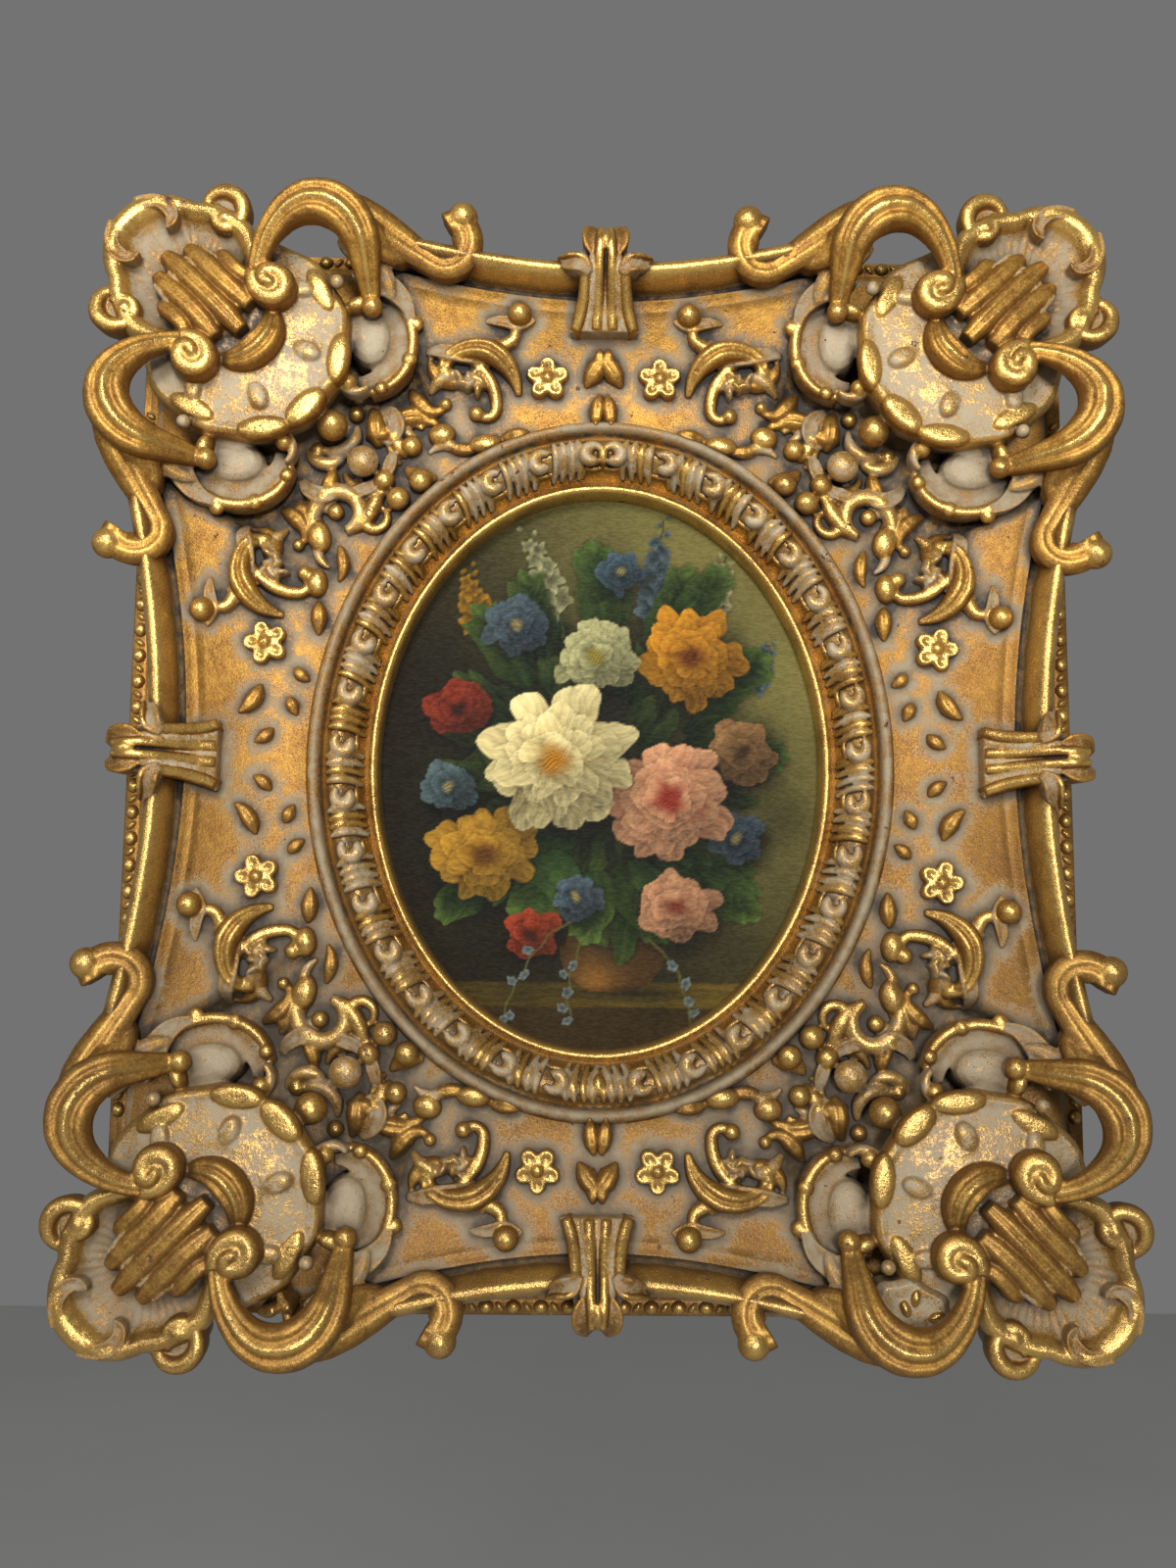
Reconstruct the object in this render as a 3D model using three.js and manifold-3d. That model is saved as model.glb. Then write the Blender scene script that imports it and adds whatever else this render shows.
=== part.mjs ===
// Carved and gilded swept frame with an oval opening, holding a small oil painting on panel.
// Millimetres. +Z is up, the picture faces -Y, the wall is the plane y = 0.
// The origin is the middle of the hanging plate's back face, high on the back of the top rail.
import * as THREE from 'three';
import { mergeVertices } from 'three/addons/utils/BufferGeometryUtils.js';
import Module from 'manifold-3d';

const wasm = await Module();
wasm.setup();

// Picture, backing and the lip that covers the picture's edge
const pictureWidth = 203.2;
const pictureHeight = 254;
const pictureThickness = 3.2;
const lipOverlap = 6.35;
const fitGap = 0.4;
const boardThickness = 3;
const boardSetIn = 2.5;

// Hanging plate and its screws
const plateThickness = 1.6;
const plateWidth = 46;
const plateHeight = 32;
const plateHeightAboveCentre = 186;
const plateCorner = 4;
const keyholeRadius = 4.5;
const keyholeSlotWidth = 4;
const keyholeRise = 7.5;
const keyholeDrop = 6;
const nailRoom = 7;
const screwSpacing = 34;
const screwHeadRadius = 3.4;
const screwHeadRim = 0.3;
const screwSlotWidth = 0.9;
const screwSlotDepth = 0.6;
const screwShankRadius = 1.6;
const screwLength = 14;
const screwPoint = 4;
const touchGap = 0.3;

// Outer rail, a plain rectangle behind the carving
const railWidth = 402.8;
const railHeight = 453;
const railDepth = 23;

// Oval mouldings, outward from the sight edge: how far out, and how far forward of the frame's back
const lipDepth = 17;
const lipBeadWidth = 3.5;
const lipBeadDepth = 20.5;
const bandStart = 8;
const bandWidth = 12;
const bandDepth = 33.5;
const bandLeafDepth = 1.6;
const grooveWidth = 2.5;
const grooveDepth = 30;
const ovalBeadWidth = 6;
const ovalBeadDepth = 33.5;
const panelInnerDepth = 28.5;

// Swept mouldings: how far in from the rail the groove runs at the middle of each side, and how it bows
const sweepInsetAtTop = 26;
const sweepInsetAtSide = 27.9;
const topBow = 0.0019;
const sideBow = 0.00125;
const sweepCornerRadius = 258;
const panelOuterDepth = 40;
const panelShoulder = 8;
const torusWidth = 13;
const torusDepth = 55.5;
const grooveFloor = 41;

// Where the torus dies away under the corner carving, from the rail's corner
const torusEndFromSide = 103.4;
const torusEndFromTop = 106.5;
const torusFade = 10;
const cornerLedgeDepth = 25;

// Corner carving, placed from the rail's outer corner along its diagonal
const discInset = 49.3;
const discRadius = 44.5;
const discDepth = 54;
const crescentLength = 43;
const crescentWidth = 6;
const fingerLength = 46;
const fingerRadius = 5.2;
const shellRise = 3;
const handleRise = 17;
const handleRadius = 5.8;
const fanInset = 28;
const fanRadius = 35;
const fanLobes = 4;
const fanLobeHeight = 3;
const fanRise = 9;
const discLobes = 3;
const discLobeHeight = 1.2;
const samplesPerHalfQuarter = 5;

// Depths of the scrolls that lie on the open panel, and how far their keels reach into it
const scrollDepth = 38;
const halfMoonDepth = 42;
const flowerDepth = 37;
const scrollKeel = 2.6;
const rimKeel = 5;
const spiralKeel = 4;
const berryRadius = 5.6;
const bossRadius = 5.2;
const voluteBallRadius = 7;
const halfMoonLength = 28;
const halfMoonWidth = 18;
const flowerRadius = 8.6;
const claspLength = 38;
const claspWidth = 17;
const claspDepth = 58;

// Where each carved form starts, across and up from the rail's outer corner
const handleStart = [-55, -33];
const handleBallSpot = [-60, -31];
const edgeLeafStart = [-90, 3];
const shellVoluteStart = [-33, 3];
const crescentStart = [-58.6, -37.5];
const fingerStart = [-51, -51];
const halfMoonSpot = [-101, -42.5];
const halfMoonRimStart = [-97, -22];
const scrollStart = [-165, -66];
const flowerSpot = [-177, -58.8];
const spiralStart = [-77, -126];
const berrySpot = [-86.5, -85.5];
const innerBossSpot = [-98.9, -99.5];
const lowerBossSpot = [-106.9, -123.5];

const halfRailWidth = railWidth / 2;
const halfRailHeight = railHeight / 2;
const sightHalfWidth = pictureWidth / 2 - lipOverlap;
const sightHalfHeight = pictureHeight / 2 - lipOverlap;
const frameBack = plateThickness + touchGap;
const rabbetHalfWidth = pictureWidth / 2 + fitGap;
const rabbetHalfHeight = pictureHeight / 2 + fitGap;
const boardBack = boardSetIn;
const boardFront = boardBack + boardThickness;
const pictureBack = boardFront + touchGap;
const pictureFront = pictureBack + pictureThickness;
const rabbetDepth = pictureFront + touchGap;
const handleDepth = discDepth + handleRise;
const sweepAtTop = halfRailHeight - sweepInsetAtTop;
const sweepAtSide = halfRailWidth - sweepInsetAtSide;
const torusEndAlongTop = halfRailWidth - torusEndFromSide;
const torusEndAlongSide = halfRailHeight - torusEndFromTop;

// A point given by its distance right, up and forward of the frame's back centre
function at(x, z, depth) {
  return new THREE.Vector3(x, -frameBack - depth, z - plateHeightAboveCentre);
}

// Turns a closed shell of points and triangles into a solid that faces out
function solidOf(points, triangles) {
  let volume = 0;
  for (const [a, b, c] of triangles) {
    volume += points[a].dot(points[b].clone().cross(points[c]));
  }
  const geometry = new THREE.BufferGeometry();
  const positions = points.flatMap((p) => [p.x, p.y, p.z]);
  const index = triangles.flatMap(([a, b, c]) => (volume > 0 ? [a, b, c] : [a, c, b]));
  geometry.setAttribute('position', new THREE.Float32BufferAttribute(positions, 3));
  geometry.setIndex(index);
  return solidFromGeometry(geometry);
}

function solidFromGeometry(source) {
  const bare = source.clone();
  bare.deleteAttribute('normal');
  bare.deleteAttribute('uv');
  const merged = mergeVertices(bare, 1e-4);
  const corners = merged.index.array;
  const triVerts = [];
  for (let i = 0; i < corners.length; i += 3) {
    const [a, b, c] = corners.slice(i, i + 3);
    if (a !== b && b !== c && c !== a) triVerts.push(a, b, c);
  }
  const mesh = new wasm.Mesh({
    numProp: 3,
    vertProperties: new Float32Array(merged.attributes.position.array),
    triVerts: new Uint32Array(triVerts),
  });
  return new wasm.Manifold(mesh);
}

function geometryOf(solid) {
  const mesh = solid.getMesh();
  const geometry = new THREE.BufferGeometry();
  geometry.setAttribute('position', new THREE.BufferAttribute(mesh.vertProperties, 3));
  geometry.setIndex(new THREE.BufferAttribute(mesh.triVerts, 1));
  geometry.computeVertexNormals();
  return geometry;
}

function join(solids) {
  let row = solids;
  while (row.length > 1) {
    const next = [];
    for (let i = 0; i < row.length; i += 2) {
      next.push(i + 1 < row.length ? row[i].add(row[i + 1]) : row[i]);
    }
    row = next;
  }
  return row[0];
}

// A copy with its points moved, such as a mirrored one
function remake(solid, move) {
  const mesh = solid.getMesh();
  const points = [];
  for (let i = 0; i < mesh.vertProperties.length; i += 3) {
    points.push(move(new THREE.Vector3().fromArray(mesh.vertProperties, i)));
  }
  const triangles = [];
  for (let i = 0; i < mesh.triVerts.length; i += 3) {
    triangles.push([mesh.triVerts[i], mesh.triVerts[i + 1], mesh.triVerts[i + 2]]);
  }
  return solidOf(points, triangles);
}

// Skins a row of closed loops with as many points each; the ends close on a middle point
function skin(loops, startPole, endPole) {
  const count = loops[0].length;
  const points = loops.flat();
  const triangles = [];
  for (let i = 0; i + 1 < loops.length; i += 1) {
    for (let j = 0; j < count; j += 1) {
      const a = i * count + j;
      const b = i * count + (j + 1) % count;
      triangles.push([a, b, b + count], [a, b + count, a + count]);
    }
  }
  const first = points.push(startPole) - 1;
  const last = points.push(endPole) - 1;
  const lastRow = (loops.length - 1) * count;
  for (let j = 0; j < count; j += 1) {
    const k = (j + 1) % count;
    triangles.push([first, k, j], [last, lastRow + j, lastRow + k]);
  }
  return solidOf(points, triangles);
}

// A value read along a short list spread evenly from 0 to 1
function along(values, t) {
  const place = Math.min(Math.max(t, 0), 1) * (values.length - 1);
  const index = Math.min(Math.floor(place), values.length - 2);
  if (values.length === 1) return values[0];
  return THREE.MathUtils.lerp(values[index], values[index + 1], place - index);
}

// A carver's stroke: it starts at a point with a heading, and each leg has a length and a turn in degrees.
// Its section has a ridge on top and a keel that reaches down into what carries it.
function stroke({ start, heading, legs, radius, depth, keel = 1.6, round = false, step = 11 }) {
  const path = [[...start, THREE.MathUtils.degToRad(heading)]];
  for (const [length, turn] of legs) {
    const pieces = Math.max(1, Math.round(Math.max(length / step, Math.abs(turn) / 58)));
    for (let i = 0; i < pieces; i += 1) {
      const [u, v, angle] = path[path.length - 1];
      const bend = THREE.MathUtils.degToRad(turn) / pieces;
      const middle = angle + bend / 2;
      const reach = length / pieces;
      path.push([u + Math.cos(middle) * reach, v + Math.sin(middle) * reach, angle + bend]);
    }
  }
  const foot = -keel * 0.6;
  const section = round ? [[-1, 0], [0, -keel], [1, 0], [0, 0.85]] : [[-1, foot], [1, foot], [0, 0.85]];
  const loops = path.map(([u, v, angle], i) => {
    const t = i / (path.length - 1);
    const r = along(radius, t);
    return section.map(([out, up]) => [
      u - Math.sin(angle) * out * r,
      v + Math.cos(angle) * out * r,
      along(depth, t) + up * r,
    ]);
  });
  const ends = [path[0], path[path.length - 1]].map(([u, v, angle], i) => {
    const last = i * (radius.length - 1);
    const reach = radius[last] * (i === 0 ? -0.5 : 0.5);
    return [u + Math.cos(angle) * reach, v + Math.sin(angle) * reach, depth[i * (depth.length - 1)]];
  });
  return { loops, ends };
}

// A boss, shell or leaf: one outline, drawn at several scales and depths
function pad({ centre, outline, levels, crown = levels[levels.length - 1][1] }) {
  const loops = levels.map(([scale, depth]) => outline.map(([u, v]) => [
    centre[0] + (u - centre[0]) * scale,
    centre[1] + (v - centre[1]) * scale,
    depth,
  ]));
  return { loops, ends: [[...centre, levels[0][1]], [...centre, crown]] };
}

// Points around an oval, with lobes if wanted
function oval([u, v], long, short, { turn = 0, lobes = 0, lobe = 0, count = 12 } = {}) {
  const tilt = THREE.MathUtils.degToRad(turn);
  return Array.from({ length: count }, (_, i) => {
    const angle = (i / count) * Math.PI * 2;
    const swell = 1 + lobe * Math.cos(angle * lobes);
    const x = Math.cos(angle) * long * swell;
    const y = Math.sin(angle) * short * swell;
    return [u + x * Math.cos(tilt) - y * Math.sin(tilt), v + x * Math.sin(tilt) + y * Math.cos(tilt)];
  });
}

function ball(centre, radius, depth) {
  return pad({
    centre,
    outline: oval(centre, radius, radius, { count: 5 }),
    levels: [[0.9, depth - radius * 2], [1, depth]],
    crown: depth + radius,
  });
}

// The solid of a form drawn from the rail's upper left corner, where u runs right to left along the top
function cornerSolid({ loops, ends }) {
  const place = ([u, v, depth]) => at(-halfRailWidth - u, halfRailHeight + v, depth);
  return skin(loops.map((loop) => loop.map(place)), place(ends[0]), place(ends[1]));
}

// The solid of a form drawn from the frame's middle
function middleSolid({ loops, ends }, turnToSide) {
  const place = ([u, v, depth]) => (turnToSide ? at(-v, u, depth) : at(u, v, depth));
  return skin(loops.map((loop) => loop.map(place)), place(ends[0]), place(ends[1]));
}

// Directions around the frame: the middles of the sides and the corners are always among them
const cornerAngle = Math.atan2(halfRailHeight, halfRailWidth);
function directions() {
  const stops = [0, cornerAngle, Math.PI / 2];
  const quarter = [];
  for (let k = 0; k < 2; k += 1) {
    for (let i = 0; i < samplesPerHalfQuarter; i += 1) {
      quarter.push(THREE.MathUtils.lerp(stops[k], stops[k + 1], i / samplesPerHalfQuarter));
    }
  }
  const upper = [...quarter, ...quarter.slice(1).reverse().map((angle) => Math.PI - angle), Math.PI];
  upper.splice(quarter.length, 0, Math.PI / 2);
  return [...upper.slice(0, -1), ...upper.slice(0, -1).map((angle) => angle + Math.PI)];
}

function rectangleReach(angle, halfWidth, halfHeight) {
  return Math.min(halfWidth / Math.abs(Math.cos(angle)), halfHeight / Math.abs(Math.sin(angle)));
}

function ovalReach(angle, outward) {
  const a = sightHalfWidth + outward;
  const b = sightHalfHeight + outward;
  return (a * b) / Math.hypot(b * Math.cos(angle), a * Math.sin(angle));
}

// Distance to a side that bows outward to its ends, or none where the direction misses it
function bowReach(toward, across, rise, bow) {
  const spread = bow * across * across;
  const inside = toward * toward - 4 * spread * rise;
  if (inside <= 0) return Infinity;
  return spread < 1e-9 ? rise / toward : (toward - Math.sqrt(inside)) / (2 * spread);
}

// Distance to the swept outline; near the corners it rounds off and stays within the rail
function sweepReach(angle, outward) {
  const c = Math.abs(Math.cos(angle));
  const s = Math.abs(Math.sin(angle));
  const reaches = [
    bowReach(s, c, sweepAtTop + outward, topBow),
    bowReach(c, s, sweepAtSide + outward, sideBow),
    sweepCornerRadius + outward,
  ];
  const sharpness = 14;
  const blend = reaches.reduce((sum, reach) => sum + reach ** -sharpness, 0) ** (-1 / sharpness);
  const room = rectangleReach(angle, halfRailWidth, halfRailHeight) - 1.2;
  return Math.min(blend, room - (torusWidth - outward) * 0.35);
}

// 1 where the torus stands at full height, 0 under the corner carving
function torusShare(angle) {
  const reach = sweepReach(angle, 0);
  const x = Math.abs(Math.cos(angle)) * reach;
  const z = Math.abs(Math.sin(angle)) * reach;
  const alongTop = Math.abs(Math.sin(angle)) / halfRailHeight > Math.abs(Math.cos(angle)) / halfRailWidth;
  const past = alongTop ? x - torusEndAlongTop : z - torusEndAlongSide;
  return 1 - THREE.MathUtils.smoothstep(past, 0, torusFade);
}

// The moulding: one loop of points for each line that runs round the frame
function mouldingSolid() {
  const bandEnd = bandStart + bandWidth;
  const beadStart = bandEnd + grooveWidth;
  const panelStart = beadStart + ovalBeadWidth;
  const fade = (depth) => (share) => THREE.MathUtils.lerp(cornerLedgeDepth, depth, share);
  const keep = (depth) => () => depth;
  const ovalLine = (outward, depth, leaf = 0) => ({
    reach: (a) => ovalReach(a, outward),
    depth: keep(depth),
    leaf,
  });
  const sweptLine = (outward, depth) => ({
    reach: (a) => sweepReach(a, outward),
    depth: fade(depth),
    leaf: 0,
  });
  const railLine = (inset, depth) => ({
    reach: (a) => rectangleReach(a, halfRailWidth - inset, halfRailHeight - inset),
    depth: keep(depth),
    leaf: 0,
  });
  const lines = [
    ovalLine(0, lipDepth),
    ovalLine(lipBeadWidth, lipBeadDepth),
    ovalLine(bandStart, (bandDepth + lipDepth) / 2),
    ovalLine(bandStart + bandWidth * 0.3, bandDepth - bandLeafDepth, bandLeafDepth),
    ovalLine(bandStart + bandWidth * 0.75, bandDepth - bandLeafDepth, -bandLeafDepth),
    ovalLine(bandEnd + grooveWidth / 2, grooveDepth),
    ovalLine(beadStart + ovalBeadWidth / 2, ovalBeadDepth),
    ovalLine(panelStart, panelInnerDepth),
    sweptLine(-panelShoulder, panelOuterDepth),
    sweptLine(0, grooveFloor),
    sweptLine(torusWidth * 0.3, torusDepth - 2.5),
    sweptLine(torusWidth * 0.6, torusDepth),
    sweptLine(torusWidth, cornerLedgeDepth + 2),
    railLine(0, railDepth),
    railLine(0, 0),
    ovalLine(0, 0),
  ];
  const angles = directions();
  const loops = lines.map((line) => angles.map((angle, j) => {
    const reach = line.reach(angle);
    const depth = line.depth(torusShare(angle)) + (j % 2 === 0 ? line.leaf : -line.leaf);
    return at(Math.cos(angle) * reach, Math.sin(angle) * reach, depth);
  }));
  const count = angles.length;
  const points = loops.flat();
  const triangles = [];
  for (let i = 0; i < lines.length; i += 1) {
    const next = (i + 1) % lines.length;
    for (let j = 0; j < count; j += 1) {
      const k = (j + 1) % count;
      triangles.push([i * count + j, i * count + k, next * count + k]);
      triangles.push([i * count + j, next * count + k, next * count + j]);
    }
  }
  return solidOf(points, triangles);
}

// Carving that lies across a corner's diagonal
function cornerCarving() {
  const disc = [-discInset, -discInset];
  const fanCentre = [-fanInset, -fanInset];
  const outline = [];
  for (let i = 0; i <= fanLobes * 2; i += 1) {
    const angle = THREE.MathUtils.degToRad(THREE.MathUtils.lerp(-62, 152, i / fanLobes / 2));
    const rise = fanRise * Math.max(0, Math.cos(2 * angle - Math.PI / 2));
    const reach = fanRadius + (i % 2 === 0 ? fanLobeHeight : 0) + rise;
    outline.push([fanCentre[0] + Math.cos(angle) * reach, fanCentre[1] + Math.sin(angle) * reach]);
  }
  for (let i = 0; i <= discLobes * 2; i += 1) {
    const angle = THREE.MathUtils.degToRad(THREE.MathUtils.lerp(122, 328, i / discLobes / 2));
    const reach = discRadius + (i % 2 === 0 ? discLobeHeight : -discLobeHeight);
    outline.push([disc[0] + Math.cos(angle) * reach, disc[1] + Math.sin(angle) * reach]);
  }
  const forms = [
    pad({
      centre: [-(discInset + fanInset) / 2, -(discInset + fanInset) / 2],
      outline,
      levels: [[0.75, cornerLedgeDepth - 5], [1, discDepth - 3], [0.88, discDepth + 2]],
      crown: discDepth - 4,
    }),
    stroke({
      start: crescentStart,
      heading: 230,
      legs: [[crescentLength, 164]],
      radius: [2, crescentWidth, crescentWidth, crescentWidth, 2],
      depth: [discDepth - 1, discDepth + 2, discDepth + 3, discDepth + 2, discDepth - 1],
    }),
    // The cluster between the corner disc and the oval: a spiral, a berry and a boss
    stroke({
      start: spiralStart,
      heading: 85,
      legs: [[14, 55], [22, 175], [9, 100]],
      radius: [1.6, 3.4, 3.6, 2.8],
      depth: [scrollDepth - 8, scrollDepth - 5, scrollDepth - 3],
      keel: spiralKeel,
    }),
    ball(berrySpot, berryRadius, scrollDepth - 2),
    ball(innerBossSpot, berryRadius, scrollDepth - 6),
    ball(lowerBossSpot, bossRadius, scrollDepth - 7),
  ];
  for (const side of [-1, 0, 1]) {
    const shift = side * fingerRadius * 1.25;
    forms.push(stroke({
      start: [fingerStart[0] + shift, fingerStart[1] - shift],
      heading: 45 - side * 5,
      legs: [[fingerLength * (side === 0 ? 1 : 0.88), 0]],
      radius: [fingerRadius * 0.8, fingerRadius],
      depth: [discDepth + 1, discDepth + shellRise + 4],
      round: true,
      step: fingerLength,
    }));
  }
  return join(forms.map(cornerSolid));
}

// Carving along one side of a corner; its mirror across the diagonal runs along the other side
function edgeCarving() {
  const shellDepth = discDepth + shellRise;
  const forms = [
    // Volute at the end of the corner shell's rim
    stroke({
      start: shellVoluteStart,
      heading: 97,
      legs: [[30, 215], [12, 120]],
      radius: [2, 4.2, 4, 3.6],
      depth: [shellDepth, shellDepth + 2, shellDepth + 4],
      keel: 2.4,
    }),
    // Handle: a bold scroll that stands clear of the frame, with a ball at its inner end
    stroke({
      start: handleStart,
      heading: 93,
      legs: [[32, 48], [42.4, 123], [20, 2]],
      radius: [3.6, 4.4, handleRadius, handleRadius * 1.3, handleRadius * 1.3, handleRadius, 3.6],
      depth: [
        discDepth + 3, handleDepth - 6, handleDepth, handleDepth,
        handleDepth - 6, discDepth - 5, halfMoonDepth,
      ],
      keel: 0.9,
      round: true,
      step: 10,
    }),
    ball(handleBallSpot, voluteBallRadius, handleDepth - 15),
    // Leaf that carries the handle down to the swept moulding and curls up at its end
    stroke({
      start: edgeLeafStart,
      heading: 205,
      legs: [[45, 5], [26, -165], [5, -60]],
      radius: [5, 7.4, 6, 4.6, 3.4, 3],
      depth: [
        handleDepth - 5, handleDepth - 12, torusDepth - 2.5,
        torusDepth - 5.5, torusDepth - 4.5, torusDepth - 3.5,
      ],
      step: 12,
    }),
    // Half-moon cartouche and its rim
    pad({
      centre: halfMoonSpot,
      outline: oval(halfMoonSpot, halfMoonLength / 2, halfMoonWidth / 2, { turn: 80, count: 8 }),
      levels: [[0.9, cornerLedgeDepth - 1], [1, halfMoonDepth - 5]],
      crown: halfMoonDepth,
    }),
    stroke({
      start: halfMoonRimStart,
      heading: 190,
      legs: [[22, 48], [26, 62], [16, 50]],
      radius: [2.4, 4.2, 3.6, 2],
      depth: [halfMoonDepth, halfMoonDepth, halfMoonDepth - 3, halfMoonDepth - 7],
      keel: rimKeel,
    }),
    // The C-scroll
    stroke({
      start: scrollStart,
      heading: 86,
      legs: [[38, -111], [14.1, -111]],
      radius: [1.4, 3.8, 4.2, 3, 2.6],
      depth: [scrollDepth - 6, scrollDepth - 2, scrollDepth, scrollDepth - 2, scrollDepth - 3],
      keel: scrollKeel,
    }),
    // Five-petalled flower
    pad({
      centre: flowerSpot,
      outline: oval(flowerSpot, flowerRadius, flowerRadius, { count: 10, lobes: 5, lobe: 0.16, turn: 18 }),
      levels: [[0.7, panelInnerDepth - 2.5], [1, flowerDepth - 2.5]],
      crown: flowerDepth,
    }),
  ];
  return join(forms.map(cornerSolid));
}

// Clasp over the moulding at the middle of a side: three ribs, two curled leaves and a shell bulb
function claspSolid(groove, turnToSide) {
  const middle = [0, groove + 4];
  const body = oval(middle, claspLength / 2, claspWidth / 2, { turn: 90, count: 8 });
  const forms = [
    pad({
      centre: middle,
      outline: body,
      levels: [[0.9, railDepth - 1], [1, claspDepth - 8], [0.7, claspDepth - 2]],
    }),
    stroke({
      start: [0, groove - 17],
      heading: 90,
      legs: [[claspLength, 0]],
      radius: [2.6, 3.4],
      depth: [panelOuterDepth + 6, claspDepth],
      step: claspLength,
    }),
  ];
  for (const side of [-1, 1]) {
    forms.push(stroke({
      start: [side * 5, groove - 4],
      heading: 90 - side * 55,
      legs: [[19, side * 130]],
      radius: [2.4, 4.4, 2.4],
      depth: [claspDepth - 8, claspDepth - 1, claspDepth - 5],
    }));
  }
  return join(forms.map((form) => middleSolid(form, turnToSide)));
}

// Mirrors in the frame's own middle planes
const mirrorX = (p) => new THREE.Vector3(-p.x, p.y, p.z);
const mirrorZ = (p) => new THREE.Vector3(p.x, p.y, -p.z - 2 * plateHeightAboveCentre);

// Mirror across the diagonal of the upper left corner
function mirrorDiagonal(p) {
  const left = p.x + halfRailWidth;
  const down = halfRailHeight - (p.z + plateHeightAboveCentre);
  return new THREE.Vector3(down - halfRailWidth, p.y, halfRailHeight - left - plateHeightAboveCentre);
}

function carvedFrame() {
  const edge = edgeCarving();
  const corner = join([cornerCarving(), edge, remake(edge, mirrorDiagonal)]);
  const left = join([corner, remake(corner, mirrorZ)]);
  const topClasp = claspSolid(sweepAtTop, false);
  const sideClasp = claspSolid(sweepAtSide, true);
  const body = join([
    mouldingSolid(),
    left,
    remake(left, mirrorX),
    topClasp,
    remake(topClasp, mirrorZ),
    sideClasp,
    remake(sideClasp, mirrorX),
  ]);
  const screwHoles = [-1, 1].map((side) => screwSolid(side, touchGap));
  const nailPocket = keyholeSolid(1, 0, frameBack + nailRoom);
  const rabbet = panelSolid(rabbetHalfWidth * 2, rabbetHalfHeight * 2, -1, rabbetDepth);
  return body.subtract(join([...screwHoles, nailPocket, rabbet]));
}

function boxSolid(width, depth, height, centre) {
  const geometry = new THREE.BoxGeometry(width, depth, height);
  geometry.translate(centre.x, centre.y, centre.z);
  return solidFromGeometry(geometry);
}

// A panel behind the opening, from one depth to another
function panelSolid(width, height, back, front) {
  return boxSolid(width, front - back, height, at(0, 0, (back + front) / 2));
}

// A turned piece whose axis lies along Y: radius against distance from the wall
function turnedSolid(profile, x, z = 0, sides = 12) {
  const geometry = new THREE.LatheGeometry(profile.map(([r, y]) => new THREE.Vector2(r, y)), sides);
  geometry.rotateX(Math.PI);
  geometry.translate(x, 0, z);
  return solidFromGeometry(geometry);
}

// A countersunk wood screw; spare widens it into the hole that takes it
function screwSolid(side, spare = 0) {
  const top = spare > 0 ? -spare : touchGap;
  return turnedSolid([
    [0, top],
    [screwHeadRadius + spare, top],
    [screwHeadRadius + spare, touchGap + screwHeadRim + spare],
    [screwShankRadius + spare, plateThickness + touchGap],
    [screwShankRadius + spare, screwLength - screwPoint],
    [0, screwLength + spare],
  ], side * screwSpacing / 2);
}

function hangerScrew(side) {
  const x = side * screwSpacing / 2;
  const slotMiddle = new THREE.Vector3(x, -touchGap, 0);
  const slot = boxSolid(screwHeadRadius * 3, screwSlotDepth * 2, screwSlotWidth, slotMiddle);
  return screwSolid(side).subtract(slot);
}

// The keyhole: a round mouth that passes a nail's head, and a slot above it for the nail
function keyholeSolid(spare, from, to) {
  const mouth = turnedSolid([
    [0, from],
    [keyholeRadius + spare, from],
    [keyholeRadius + spare, to],
    [0, to],
  ], 0, -keyholeDrop - keyholeRise / 2);
  const middle = new THREE.Vector3(0, -(from + to) / 2, -keyholeDrop);
  const slot = boxSolid(keyholeSlotWidth + spare * 2, to - from, keyholeRise + spare * 2, middle);
  return mouth.add(slot);
}

function hangingPlate() {
  const shape = new THREE.Shape();
  const left = -plateWidth / 2;
  const low = -plateHeight / 2;
  const corners = [[-left, low], [-left, -low], [left, -low], [left, low]];
  shape.moveTo(0, low);
  corners.forEach(([x, y], i) => {
    const [nextX, nextY] = i < 3 ? corners[i + 1] : [0, low];
    const reach = Math.hypot(nextX - x, nextY - y);
    const before = i === 0 ? [0, low] : corners[i - 1];
    const back = Math.hypot(before[0] - x, before[1] - y);
    shape.lineTo(x + (before[0] - x) / back * plateCorner, y + (before[1] - y) / back * plateCorner);
    const bend = plateCorner / reach;
    shape.quadraticCurveTo(x, y, x + (nextX - x) * bend, y + (nextY - y) * bend);
  });
  const geometry = new THREE.ExtrudeGeometry(shape, {
    depth: plateThickness,
    bevelEnabled: false,
    curveSegments: 4,
  });
  geometry.rotateX(Math.PI / 2);
  const holes = [screwSolid(-1, touchGap), screwSolid(1, touchGap), keyholeSolid(0, -1, plateThickness + 1)];
  return solidFromGeometry(geometry).subtract(join(holes));
}

function buildMesh(name, solid, material) {
  const mesh = new THREE.Mesh(geometryOf(solid), new THREE.MeshStandardMaterial(material));
  mesh.name = name;
  return mesh;
}

const steel = { color: 0x8d8a80, roughness: 0.45, metalness: 0.9 };
const picture = panelSolid(pictureWidth, pictureHeight, pictureBack, pictureFront);
const board = panelSolid(pictureWidth, pictureHeight, boardBack, boardFront);

const part = new THREE.Group();
part.add(
  buildMesh('carved_frame', carvedFrame(), { color: 0xb98a3c, roughness: 0.45, metalness: 0.6 }),
  buildMesh('oil_painting', picture, { color: 0x5c5226, roughness: 0.4, metalness: 0 }),
  buildMesh('backing_board', board, { color: 0x6b4c2f, roughness: 0.8, metalness: 0 }),
  buildMesh('hanging_plate', hangingPlate(), steel),
  buildMesh('hanger_screw_left', hangerScrew(-1), steel),
  buildMesh('hanger_screw_right', hangerScrew(1), steel),
);

export default part;
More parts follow.
